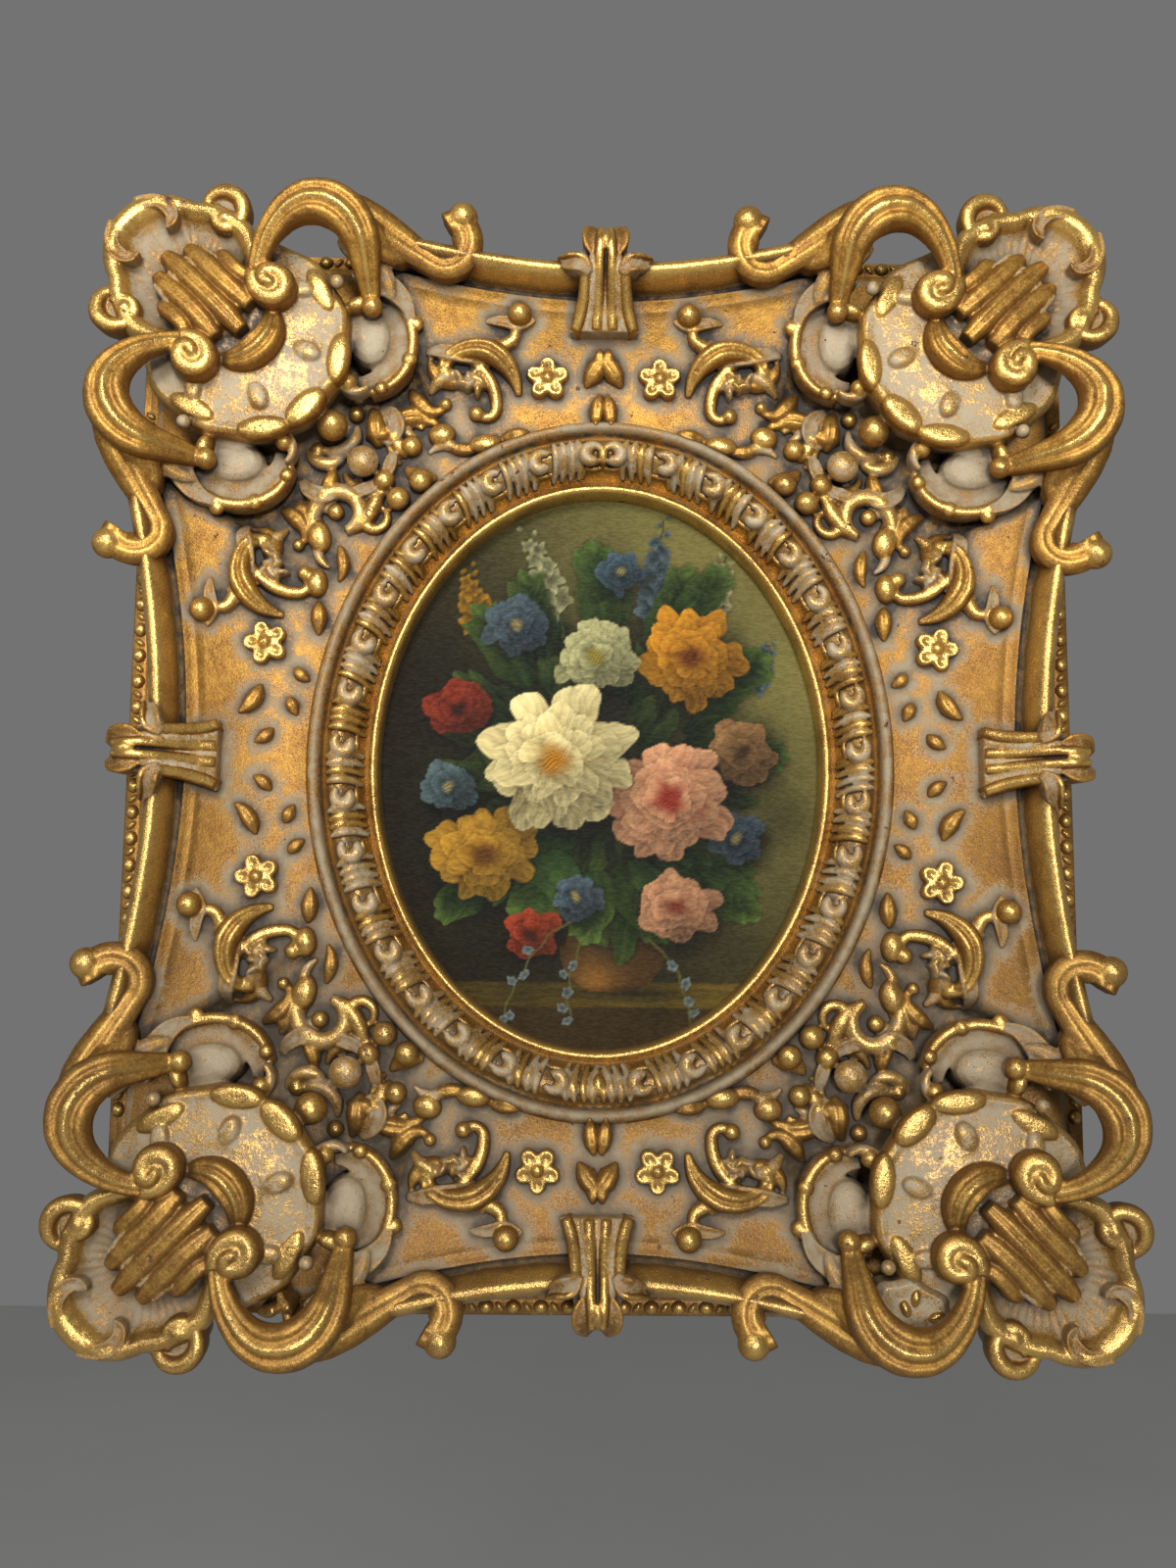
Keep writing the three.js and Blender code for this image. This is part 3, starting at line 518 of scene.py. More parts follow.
# The forms of half a corner are put down by a Placer, which can swap them across the diagonal. Widths are
# half widths, a depth is measured from the back, and a lift from the ground below, in widths.
def carveHalf(put):
    # shell's rim towards the corner and its end volute
    put.flute((-3.5, 4.5), 165, [(9, 22), (9, 60), (6, 110)], [2.4, 3, 3.2, 2.8, 2],
              depth=[58, 58.5, 58.6, 58.4, 57.8], gilt=0.3, sink=6, step=1.2)
    put.stroke((-32.6, 3.5), 97, [(33.4, 234), (15.6, 171)], [2.6, 3.2, 3.6, 3.6, 3.2, 2.8, 2.4, 1.8],
               depth=[55, 57, 57.5, 57, 56.5, 57.5, 58], gilt=0.9, sink=7)
    put.ball((-41.5, -1.5), 3.6, depth=57.5, gilt=1)
    put.pad((-41, 2.4), 8.6, 8.6, [(0.8, 30), (1, 46), (0.96, 54), (0.8, 56.4), (0.3, 57.4)], gilt=0.1)
    # the pierced handle with three ribs, and its small volute on the disc
    put.stroke((-55.5, -30), 93, [(30, 48), (42.4, 123), (17, 2)],
               [3.8, 4.4, 5.6, 7.2, 8.8, 9.6, 9.2, 7.8, 5.6, 3.4],
               depth=[58, 62, 66, 69, 71, 71, 69, 65, 57, 47], kind="ribs", gilt=1.1, rise=0.6, sink=0,
               step=1.3)
    put.stroke((-54.5, -26), -79, [(13, -80), (21, -214), (9, -190)], [3.2, 4, 4.6, 4.6, 4, 3.2, 2.2],
               depth=[60, 59, 58.5, 59, 60, 61.5, 62.5], gilt=0.95, sink=7, step=1.2)
    put.ball((-62.3, -31.3), 4.4, depth=59.5, gilt=1)
    for drop, turn in ((0, 0), (7, -9)):        # two leaf tips springing from the handle's outer end
        put.leaf((-94 - drop, -1 - drop * 0.9), 240 + turn, [(11, -28), (9, -60)],
                 [5.5, 6.2, 5.4, 3.8, 1.6], depth=[65, 61, 57, 53, 49], gilt=0.85, rise=0.6, sink=8)
    # the leaf that runs out over the torus and curls forward at its tip
    put.leaf((-90, 3), 203, [(22, 3), (22, 5), (26, -163), (7, -80)],
             [5, 7.4, 8, 7.4, 6.2, 5.4, 5.8, 6.6, 6.8, 5.4],
             depth=[66, 63, 59, 55, 52, 50.5, 51, 53, 55, 56], gilt=1.05, rise=0.6, sink=7, step=1.3)
    put.ball((-141, 2), 6.4, depth=54.5, gilt=1.1)
    put.leaf((-91, -9), 208, [(18, 16), (12, 44)], [4.5, 6, 5.4, 4, 1.8], depth=[60, 56, 52.5, 50, 47],
             gilt=0.3, rise=0.6, sink=9)
    put.flute((-95, -20), 192, [(18, 20), (13, 50)], [4, 5.4, 5.2, 3.8, 1.8], depth=[52, 49, 46, 44, 42],
              gilt=0.15, rise=0.6, sink=9)
    put.ball((-102.6, -35), 4.6, depth=48.5, gilt=1)
    put.ball((-88.5, -26.5), 3, depth=53.5, gilt=0.1)
    put.pad((-96.5, -33.5), 6, 3.6, [(1, 40), (0.95, 47), (0.6, 50), (0.1, 50.8)], turn=-20, gilt=0.95)
    # half-moon boss between disc and side, its ring and its gilded lip
    put.pad((-100, -43.5), 15, 10,
            [(1, 28), (0.98, 38), (0.9, 41.5), (0.7, 43.3), (0.3, 44.3), (0.05, 44.4)], turn=80, gilt=-0.2)
    put.flute((-98.5, -25.5), 196, [(18, 48), (22, 66), (16, 52)], [2.4, 3.8, 4.4, 4.6, 4.4, 3.6, 2.2],
              depth=[42, 40, 38, 37.5, 37, 37, 37], gilt=0.15, rise=0.7, sink=8)
    put.stroke((-97, -20.5), 190, [(22, 46), (27, 62), (19, 54)], [1.4, 2.2, 2.4, 2.4, 2.2, 1.6],
               depth=[43, 42, 40, 39, 38, 37], gilt=0.6, sink=8)
    for spot, r in (((-113.5, -26), 3), ((-120.5, -38), 3.4), ((-118, -54), 3.2), ((-106, -67), 2.8)):
        put.ball(spot, r, depth=39.5, gilt=0.95, tall=0.7)
    put.ball((-92.5, -66), 3.9, depth=42, gilt=0.9)
    put.stroke((-87, -62), 265, [(9, -60), (10, -80)], [1.2, 1.8, 1.8, 1.2], depth=[43, 42, 41], gilt=0.2,
               sink=7)
    # the large C scroll that stands free in the panel
    put.stroke((-164.5, -66), 86, [(38, -111), (15, -111)], [1.4, 3.4, 4.9, 5.2, 4.6, 3.8, 3.2, 2.4],
               lift=[0.3, 0.6, 0.8, 0.7, 0.5, 0.4], kind="twoRibs", gilt=0.95, sink=5, step=1.3)
    put.ball((-132.5, -56.5), 3.6, gilt=1)
    put.stroke((-140, -50.5), 196, [(14, 40), (13.7, 35), (11.8, 147)], [1.4, 2.6, 3.2, 3, 2.6, 2],
               lift=[0.6, 0.5, 0.3], gilt=0.9, sink=4, step=1.2)
    put.ball((-146.5, -74.5), 3.5, gilt=0.95)
    put.leaf((-126, -51), -92, [(14, -80), (12, -80)], [1.2, 3.4, 4.2, 3.6, 2.2, 1], gilt=0.9, sink=5)
    put.ball((-133, -70.5), 2.8, gilt=0.95)
    for i in range(9):                      # the rough leaf that fills the scroll
        a = i * 2.4
        put.pad((-144.5 + cos(a) * (1.2 + i * 0.62), -61 + sin(a) * (1 + i * 0.5)), 3.6, 1.5,
                [(1, 26), (0.95, 33.5 + i % 3), (0.5, 35.6 + i % 3), (0.1, 36 + i % 3)], turn=a * 57 + 40,
                gilt=0.22, count=12)
    put.flute((-124, -48.5), 178, [(13, 16), (13, -20), (10, -112)], [1.2, 3, 3.6, 3.2, 2.8, 2.4, 2],
              lift=[0.8, 0.9, 0.8, 0.7, 0.6], gilt=0.25, sink=5)
    put.stroke((-147, -44.5), 204, [(14, -50), (9, -116)], [2, 3, 3.2, 2.6, 1.8], gilt=0.6, sink=5)
    put.ball((-165, -33.5), 5, depth=40.5, gilt=1)
    put.stroke((-123, -80.5), 48, [(17.2, -120), (15.1, -78)], [1.2, 2.4, 2.6, 2.2, 1.6, 1.2], gilt=0.85,
               sink=4)
    put.leaf((-111, -74.5), 179, [(20.7, 27)], [1, 3, 3.6, 2.4, 0.8], gilt=0.8, sink=4)
    # five-petalled flower
    for i in range(5):
        a = radians(90 + 72 * i)
        put.pad((-177 + cos(a) * 5.6, -59 + sin(a) * 5.6), 4.2, 3.6,
                [(1, 24), (0.98, 32.5), (0.85, 34.3), (0.5, 34.2), (0.15, 33.2)], turn=90 + 72 * i,
                gilt=0.85, count=16)
    put.ball((-177, -59), 2.8, depth=33.4, gilt=0.7)


def carveCluster(put):          # the knot of berries and curls on the diagonal, below the disc
    put.ball((-85.5, -83.5), 5.8, depth=38.5, gilt=1)
    put.stroke((-94, -79), 250, [(12, 75), (13, 75)], [1, 2.2, 2.6, 2.2, 1], lift=[0.7, 0.8, 0.7],
               gilt=0.25, sink=5)
    put.ball((-93.8, -74), 3.2, gilt=0.95)
    put.leaf((-104, -89), 75, [(10, 15), (9, -40)], [1, 3.2, 3.6, 2.8, 0.9], gilt=0.85, sink=5,
             lift=[0.8, 0.9, 0.6])
    put.ball((-77.5, -90.5), 3.1, gilt=0.95)
    put.stroke((-73.5, -90), -100, [(22, -150)], [1.2, 2.2, 2.4, 2, 1], gilt=0.35, sink=5, lift=[0.7, 0.7])
    put.ball((-98.2, -97.5), 6, depth=33.5, gilt=0.2, tall=0.8)
    put.stroke((-89.5, -100), 262, [(12, -78), (13, -78)], [1, 2, 2.2, 2, 1], gilt=0.8, sink=5)
    put.stroke((-115.3, -76), -35, [(20, -120)], [1.2, 2.8, 3, 2.4, 1.6], gilt=0.8, sink=5)
    put.ball((-118.5, -89), 4, gilt=0.95)
    put.leaf((-108, -78), 155, [(20, 35)], [1, 3.4, 4, 3, 0.9], gilt=0.9, sink=4)
    put.leaf((-116, -97.5), 240, [(8, -40), (8, -30)], [1, 3, 3.4, 1.4], gilt=0.6, sink=4)
    put.ball((-122.8, -105), 4.6, gilt=0.9)
    put.ball((-107, -104.5), 4.2, gilt=0.95)
    put.ball((-113.5, -113), 4.6, gilt=0.75)
    put.stroke((-106.5, -116.5), 215, [(14, 150), (12, 150)], [1.2, 1.9, 2, 1.7], gilt=0.8, sink=4)
    put.stroke((-76, -126), 85, [(15, 50), (20, 125), (12, 80)], [2, 2.8, 3.2, 3, 2.6, 2.2, 1.8],
               lift=[0.5, 0.6, 0.6, 0.6], gilt=0.35, sink=5, step=1.2)
    put.ball((-86.5, -118.5), 3.2, gilt=0.9)
    put.stroke((-90.2, -125.6), 200, [(6, -60), (14, -30), (8, 60)], [1, 2.6, 3.2, 2.6, 1], gilt=0.9,
               sink=4)
    put.leaf((-70.5, -112), 262, [(18, -10)], [1, 2.8, 3.2, 2.4, 0.9], gilt=0.5, sink=4)
    put.leaf((-100.5, -112), 285, [(9, 60)], [1, 2.6, 2.8, 1], gilt=0.85, sink=4)
    put.leaf((-87, -104), 300, [(9, -70)], [1, 2.4, 2.6, 1], gilt=0.5, sink=4)


def carveFlank(put):            # leafy scrolls that fill the ground beside the knot
    put.flute((-104, -71), 200, [(13, 60), (9, 110)], [1.6, 3, 3.4, 2.8, 1.8], lift=[1, 1.2, 0.8],
              gilt=0.2, sink=5)
    put.ball((-110.5, -78), 3, gilt=0.95)
    put.leaf((-117, -62), 250, [(12, -30), (9, -70)], [1.2, 3, 3.4, 2.4, 1.2], lift=[0.8, 0.9, 0.6],
             gilt=0.85, sink=5)
    put.stroke((-126, -66), 120, [(12, 40), (8, 80)], [1, 2.4, 2.8, 2, 1], lift=[0.8, 0.9, 0.6], gilt=0.3,
               sink=5)
    put.leaf((-98, -84), 196, [(10, -50), (8, -60)], [1, 2.8, 3.2, 2.4, 0.9], lift=[1, 1, 0.6], gilt=0.9,
             sink=5)
    put.flute((-88, -92), 176, [(9, 60), (9, 70)], [1, 2.2, 2.6, 2.2, 1.2], lift=[1, 1.2, 1], gilt=0.15,
              sink=5)
    put.flute((-110, -90), 262, [(10, 30), (9, 80)], [1, 2.4, 2.8, 2.2, 1], lift=[1, 1.2, 0.8], gilt=0.2,
              sink=5)
    put.leaf((-133, -88), 205, [(9, -20), (8, -40)], [0.8, 2.4, 3, 2.2, 0.8], gilt=0.8, sink=4)
    put.flute((-150, -36), 176, [(12, 20), (10, -60)], [0.8, 2.2, 2.6, 2, 1.2], gilt=0.3, sink=4)
    put.stroke((-161, -60), 96, [(8, -50), (7, -60)], [0.8, 2, 2.4, 1.8, 0.8], gilt=0.25, sink=4)


def carveTop(put):              # small work that only the top and bottom have
    put.leaf((-193.5, -62), 118, [(8, 8), (9, 10)], [0.7, 3.2, 3.8, 2.6, 0.5], gilt=0.85, sink=4)
    put.leaf((-200, -64.5), 282, [(16, -10)], [0.7, 2.6, 3, 2.2, 0.5], gilt=0.85, sink=4)
    put.leaf((-199.5, -46), 268, [(14, 4)], [0.6, 2.4, 2.6, 1.8, 0.5], gilt=0.8, sink=4)
    put.drop((-131.5, -83.5), 6.2, 5, turn=-10, gilt=0.95)
    put.drop((-150.5, -88), 7.4, 4.6, turn=-6, gilt=0.95)
    put.stroke((-141, -92.5), 60, [(9, -60), (9, -50)], [0.8, 1.8, 2, 1.6, 0.8], gilt=0.2, sink=4)
    put.leaf((-156, -85.5), 176, [(14, -14)], [0.8, 2.8, 3.2, 2.4, 0.7], gilt=0.8, sink=4)
    put.stroke((-120.5, -84), 10, [(10, 60)], [0.8, 1.9, 2.1, 1], gilt=0.25, sink=4)


def carveSide(put):             # and what only the sides have; drawn as if on the top
    put.drop((-129.5, -79.5), 7.4, 5.2, turn=12, gilt=0.95)
    put.stroke((-122, -86), 12, [(11, 70)], [0.8, 1.9, 2.1, 1], gilt=0.25, sink=4)
    put.drop((-150.2, -79.5), 6.4, 4.6, turn=0, gilt=0.95)
    put.stroke((-143, -84.5), 70, [(9, -60), (9, -60)], [0.8, 1.8, 2, 1.6, 0.8], gilt=0.2, sink=4)
    put.leaf((-158, -80), 190, [(15, -16)], [0.8, 2.8, 3.2, 2.4, 0.7], gilt=0.85, sink=4)
    put.leaf((-194.5, -57.5), 170, [(9, -25), (7, -30)], [0.7, 2.8, 3.2, 2.2, 0.6], gilt=0.85, sink=4)
    put.leaf((-199.5, -69), 200, [(9, 10)], [0.6, 2.2, 2.6, 1.8, 0.5], gilt=0.8, sink=4)
    put.leaf((-213, -63), 150, [(10, -40)], [0.6, 2.2, 2.6, 1.8, 0.5], gilt=0.8, sink=4)
    put.leaf((-187, -71), 215, [(9, 30)], [0.6, 2.2, 2.4, 1.8, 0.5], gilt=0.7, sink=4)


def makeCarving(c=corner):
    heap = tagged()
    carveCorner(heap, c)
    for swapped in (False, True):
        carveHalf(Placer(heap, swapped))
        (carveSide if swapped else carveTop)(Placer(heap, swapped, c["smallBulk"]))
        carveFlank(Placer(heap, swapped, c["flankBulk"]))
    carveCluster(Placer(heap, False, c["clusterBulk"]))
    return fuse(heap, "corner_carving", c["voxel"], 1, c["triangles"])


# Clasps: a ribbed bundle over the middle of each side with a lobed end. Drawn from the frame's middle:
# x along the side, y outward.
clasp = {"topStart": 184.5, "sideStart": 158.5, "voxel": 0.55, "triangles": 16000}


def makeClasp(name, start, c=clasp):
    heap = tagged()
    rise = [43.5, 46, 51, 56.5, 59.8, 60.5, 58.5]
    stroke(heap, (0, start - 0.5), 90, [(36, 0)], [15.4, 12.6, 11, 10.4, 9.4, 8],
           depth=[42, 44.5, 49, 54, 57, 56], gilt=0.06, rise=0.12, sink=14)
    stroke(heap, (0, start), 90, [(30, 0)], [1.5, 1.8, 1.7, 1.5], depth=[43, 47.5, 54, 58.8], gilt=0.02,
           sink=14)
    for side in (1, -1):
        # gilded ribs beside the middle groove and along the edge, a pale one between
        stroke(heap, (side * 3.4, start), 90 + side * 3, [(20, side * -2), (18, side * 2)],
               [2.1, 2.5, 2.3, 2.1, 1.9, 1.6], depth=rise, gilt=1.1, sink=14)
        stroke(heap, (side * 12.6, start - 0.3), 90 + side * 24, [(13, side * -16), (13, side * -16)],
               [2.3, 2.7, 2.5, 2.3, 2], depth=[43, 46.5, 52, 57, 59], gilt=1.05, sink=14)
        stroke(heap, (side * 8, start), 90 + side * 13, [(13, side * -6), (13, side * -8)],
               [1.6, 2.1, 2.1, 1.9, 1.6], depth=[42.5, 46, 51.5, 56.5, 58.6], gilt=0.02, sink=14)
        # a leaf curling outward at the clasp's shoulder
        stroke(heap, (side * 7, start + 18), 90 - side * 30, [(9, side * -46), (8, side * 30)],
               [1.6, 3.4, 4.4, 4, 2.8, 1], depth=[58.5, 59.5, 59, 57, 54, 51], gilt=0.25, kind="flute",
               sink=12, rise=0.8)
        stroke(heap, (side * 7.5, start + 22.6), 90 - side * 42, [(8, side * -44), (6, side * 30)],
               [0.8, 1.1, 1.2, 0.7], depth=[60, 60.4, 58.5, 53], gilt=1, sink=8)
        # the lobed head with a pale hollow each side
        stroke(heap, (side * 3.2, start + 26), 90 - side * 30, [(8, side * 30), (9, side * 44)],
               [2.2, 4.2, 5, 4.6, 2.8], depth=[58, 59, 58, 55, 48], gilt=0.55, kind="flute", sink=14,
               rise=0.7)
    stroke(heap, (0, start + 28), 90, [(7, 0), (5.5, 0)], [1.4, 2.2, 3.2, 3, 1.6],
           depth=[60.5, 61, 59.5, 56, 50], gilt=1.1, sink=14)
    return fuse(heap, name, c["voxel"], 1, c["triangles"])


# Leaf band round the oval: small scrolls, each followed by four slanted strokes, mirrored at top and bottom
band = {"units": 34, "middle": 13.2, "seed": 7, "steps": 720, "voxel": 0.5, "triangles": 72000,
        "slope": [20.5, 23.5, 27, 29.4, 31, 31.8, 31.9, 31.2, 29.6], "slopeHalf": 8.5,
        "strokes": 4, "strokePitch": 3.35, "strokeGilt": (0.08, 0.15, 0.3, 0.75)}


def makeBand(b=band):
    heap = tagged()
    draw = random.Random(b["seed"])
    steps = b["steps"]
    spots = []
    for i in range(steps + 1):
        angle = pi / 2 + 2 * pi * i / steps
        reach = ovalReach(angle, b["middle"])
        spots.append((cos(angle) * reach, sin(angle) * reach))
    lengths = [0]
    for a, z in zip(spots, spots[1:]):
        lengths.append(lengths[-1] + hypot(z[0] - a[0], z[1] - a[1]))
    half = lengths[steps // 2]

    def spotAlong(s):           # a point and heading at an arc length from the top
        k = next(i for i in range(1, steps + 1) if lengths[i] >= s)
        t = (s - lengths[k - 1]) / (lengths[k] - lengths[k - 1])
        x = spots[k - 1][0] + (spots[k][0] - spots[k - 1][0]) * t
        y = spots[k - 1][1] + (spots[k][1] - spots[k - 1][1]) * t
        return x, y, atan2(spots[k][1] - spots[k - 1][1], spots[k][0] - spots[k - 1][0])

    units = b["units"] // 2
    unit = half / units

    def depthAt(out):           # the band's own slope
        return between(b["slope"], (out + b["slopeHalf"]) / (2 * b["slopeHalf"]))

    def curl(s, side, out0, heading, legs, width, gilt, lift):
        x, y, along = spotAlong(s)
        outward = (sin(along), -cos(along))
        x, y = x + outward[0] * out0, y + outward[1] * out0
        turned = 180 * along / pi + heading
        if side < 0:
            x, turned, legs = -x, 180 - turned, [(length, -turn) for length, turn in legs]
        fall = 0.95 * sum(length for length, _ in legs) if heading > 80 else 0
        depths = [depthAt(out0 - fall * i / 6) + lift for i in range(7)]
        stroke(heap, (x, y), turned, legs, width, depth=depths, gilt=gilt, sink=2.2, step=1.1)

    for side in (1, -1):
        for k in range(units):
            s = k * unit
            lean = draw.uniform(-6, 6)
            curl(s + 0.8, side, 2, -50, [(8, 110), (8.5, 165)], [1.4, 2.5, 3, 2.8, 2], 0.1, 1.2)
            curl(s + 5.2, side, 1.6, 60, [(2, 40)], [1.4, 1.8, 1.1], 0.95, 1.4)
            curl(s + 0.6, side, -4.6, 8, [(4.5, -16), (4.5, -30)], [0.8, 1.6, 1.7, 1], 0.75, 0.8)
            curl(s + 9, side, -3.6, 100, [(4, -40)], [0.9, 1.6, 0.9], 0.8, 0.9)
            for j in range(b["strokes"]):
                wide = draw.uniform(1.55, 1.85)
                along = s + 10.6 + j * b["strokePitch"] + draw.uniform(-0.25, 0.25)
                curl(along, side, 7.2, 112 + lean - 3 * j, [(8, -24), (7.6, -24)],
                     [0.9, wide, wide * 1.15, wide, wide * 0.9, 0.9], draw.choice(b["strokeGilt"]), 1.2)
    for side in (1, -1):
        pad(heap, (0, side * (sightTall + b["middle"])), 2.6, 4.6,
            [(1, 26), (0.95, 33), (0.6, 34.6), (0.1, 35.2)], gilt=0.9, count=16)
    return fuse(heap, "leaf_band", b["voxel"], 1, b["triangles"])


# Beads and leaves along the rail's outer front edge
course = {"pitch": 11.2, "inset": 3.9, "bead": 3.3, "depth": 24.8, "reachWide": 128, "reachTall": 152,
          # scale and height over the depth
          "beadRows": [(0.86, -1.5), (1, 0.2), (0.82, 1.9), (0.45, 2.7), (0.1, 2.9)],
          "leafRows": [(0.9, -1.2), (1, 0), (0.7, 1.4), (0.1, 1.8)]}


def makeCourse(c=course, m=moulding):
    heap = tagged()
    wide, tall = m["railHalfWide"] - c["inset"], m["railHalfTall"] - c["inset"]
    beadRows = [(scale, c["depth"] + up) for scale, up in c["beadRows"]]
    leafRows = [(scale, c["depth"] + up) for scale, up in c["leafRows"]]
    for halfLength, fixed, upright in ((c["reachWide"], tall, False), (c["reachTall"], wide, True)):
        count = int(halfLength / c["pitch"])
        turn = 90 if upright else 0
        for side in (1, -1):
            for k in range(-count, count + 1):
                lean = (52 if k < 0 else -52) * side
                middle, after = k * c["pitch"], k * c["pitch"] + c["pitch"] / 2
                spot = (side * fixed, middle) if upright else (middle, side * fixed)
                pad(heap, spot, c["bead"], c["bead"] * 0.92, beadRows, turn=turn, gilt=0.8, count=10)
                spot = (side * fixed, after) if upright else (after, side * fixed)
                pad(heap, spot, 2.9, 1.5, leafRows, turn=turn + lean, gilt=0.6, count=8)
    return heap


# Everything carved is drawn on the bench in mm, then set in the frame
def setMatrix(sideX, sideZ, cornerX=0, cornerZ=0, swap=False):
    right = (0, 0, sideZ * mm) if swap else (sideX * mm, 0, 0)
    up = (sideX * mm, 0, 0) if swap else (0, 0, sideZ * mm)
    out = (0, -mm, 0)
    matrix = Matrix((right, up, out)).transposed().to_4x4()
    shift = Vector((sideX * cornerX * mm, frameBack, middleZ + sideZ * cornerZ * mm))
    return Matrix.Translation(shift) @ matrix


def smoothSkin(mesh, sharpAt=None):
    mesh.polygons.foreach_set("use_smooth", [True] * len(mesh.polygons))
    if sharpAt:
        mesh.set_sharp_from_angle(angle=radians(sharpAt))


def settle(mesh, name, matrix):
    placed = mesh.copy()
    placed.name = name
    placed.transform(matrix)
    if matrix.determinant() < 0:
        placed.flip_normals()
    placed.update()
    piece = bpy.data.objects.new(name, placed)
    scene.collection.objects.link(piece)
    return piece


def treeOf(meshes):             # one ray-casting tree for several (mesh, matrix) pairs
    bm = bmesh.new()
    for mesh, matrix in meshes:
        copy = mesh.copy()
        copy.transform(matrix)
        bm.from_mesh(copy)
        bpy.data.meshes.remove(copy)
    tree = BVHTree.FromBMesh(bm)
    bm.free()
    return tree


# How open a spot is, which sets the painted shade in the hollows: rays are sent from it, leaning outward, and
# those that get far count for more
exposure = {"rays": 15, "goldenAngle": 2.39996, "reach": 13, "start": 0.25, "lean": 1.03, "fade": 1.2,
            "metShare": 0.75, "softenings": 2}


def rayDirections(s=exposure):  # spread evenly over a ball
    directions = []
    for i in range(s["rays"]):
        height = 1 - 2 * (i + 0.5) / s["rays"]
        rim = sqrt(1 - height * height)
        turn = i * s["goldenAngle"]
        directions.append(Vector((cos(turn) * rim, sin(turn) * rim, height)))
    return directions


def readOpenness(mesh, tree, toBench=None, s=exposure):     # 1 in the open, towards 0 in the hollows
    co, normals = readCo(mesh), readNormals(mesh)
    if toBench:
        co, normals = toBench(co, normals)
    rays = rayDirections()
    openness = np.empty(len(co), np.float32)
    for i in range(len(co)):
        n = Vector(normals[i])
        start = Vector(co[i]) + n * s["start"]
        total = 0.0
        for ray in rays:
            aim = (n * s["lean"] + ray).normalized()
            distance = tree.ray_cast(start, aim, s["reach"])[3]
            total += 1 if distance is None else (distance / s["reach"]) ** s["fade"] * s["metShare"]
        openness[i] = total / len(rays)
    edges = np.empty(len(mesh.edges) * 2, np.int64)
    mesh.edges.foreach_get("vertices", edges)
    a, b = edges.reshape(-1, 2).T
    for _ in range(s["softenings"]):
        total, count = openness.copy(), np.ones(len(co))
        for here, there in ((a, b), (b, a)):
            np.add.at(total, here, openness[there])
            np.add.at(count, here, 1)
        openness = (total / count).astype(np.float32)
    writeValues(mesh, "openness", openness)


# Materials
def addMath(tree, operation, *values):
    node = tree.nodes.new("ShaderNodeMath")
    node.operation = operation
    for socket, value in zip(node.inputs, values):
        if isinstance(value, (int, float)):
            socket.default_value = value
        else:
            tree.links.new(value, socket)
    return node.outputs[0]


def addNoise(tree, place, scale, detail=3, roughness=0.55):
    node = tree.nodes.new("ShaderNodeTexNoise")
    node.inputs["Scale"].default_value = scale
    node.inputs["Detail"].default_value = detail
    node.inputs["Roughness"].default_value = roughness
    tree.links.new(place, node.inputs["Vector"])
    return node.outputs["Fac"]


def addRange(tree, value, low, high, outLow=0, outHigh=1):
    node = tree.nodes.new("ShaderNodeMapRange")
    node.interpolation_type = "SMOOTHSTEP"
    for name, number in (("From Min", low), ("From Max", high), ("To Min", outLow), ("To Max", outHigh)):
        node.inputs[name].default_value = number
    tree.links.new(value, node.inputs["Value"])
    return node.outputs["Result"]


def addMix(tree, factor, a, b, blend="MIX"):
    node = tree.nodes.new("ShaderNodeMix")
    node.data_type = "RGBA"
    node.blend_type = blend
    for socket, value in ((node.inputs[0], factor), (node.inputs[6], a), (node.inputs[7], b)):
        if isinstance(value, tuple):
            socket.default_value = (*value, 1)
        elif isinstance(value, (int, float)):
            socket.default_value = value
        else:
            tree.links.new(value, socket)
    return node.outputs[2]


def startGroup(name, inputs, outputs):
    group = bpy.data.node_groups.new(name, "ShaderNodeTree")
    for label, kind in inputs:
        group.interface.new_socket(label, in_out="INPUT", socket_type=kind)
    for label, kind in outputs:
        group.interface.new_socket(label, in_out="OUTPUT", socket_type=kind)
    return group, group.nodes.new("NodeGroupInput").outputs, group.nodes.new("NodeGroupOutput").inputs


def addLayers(tree, tone, layers, sources):     # layer: source, where it starts and ends, share, colour
    for source, start, end, share, colour in layers:
        tone = addMix(tree, addRange(tree, sources[source], start, end, 0, share), tone, colour)
    return tone
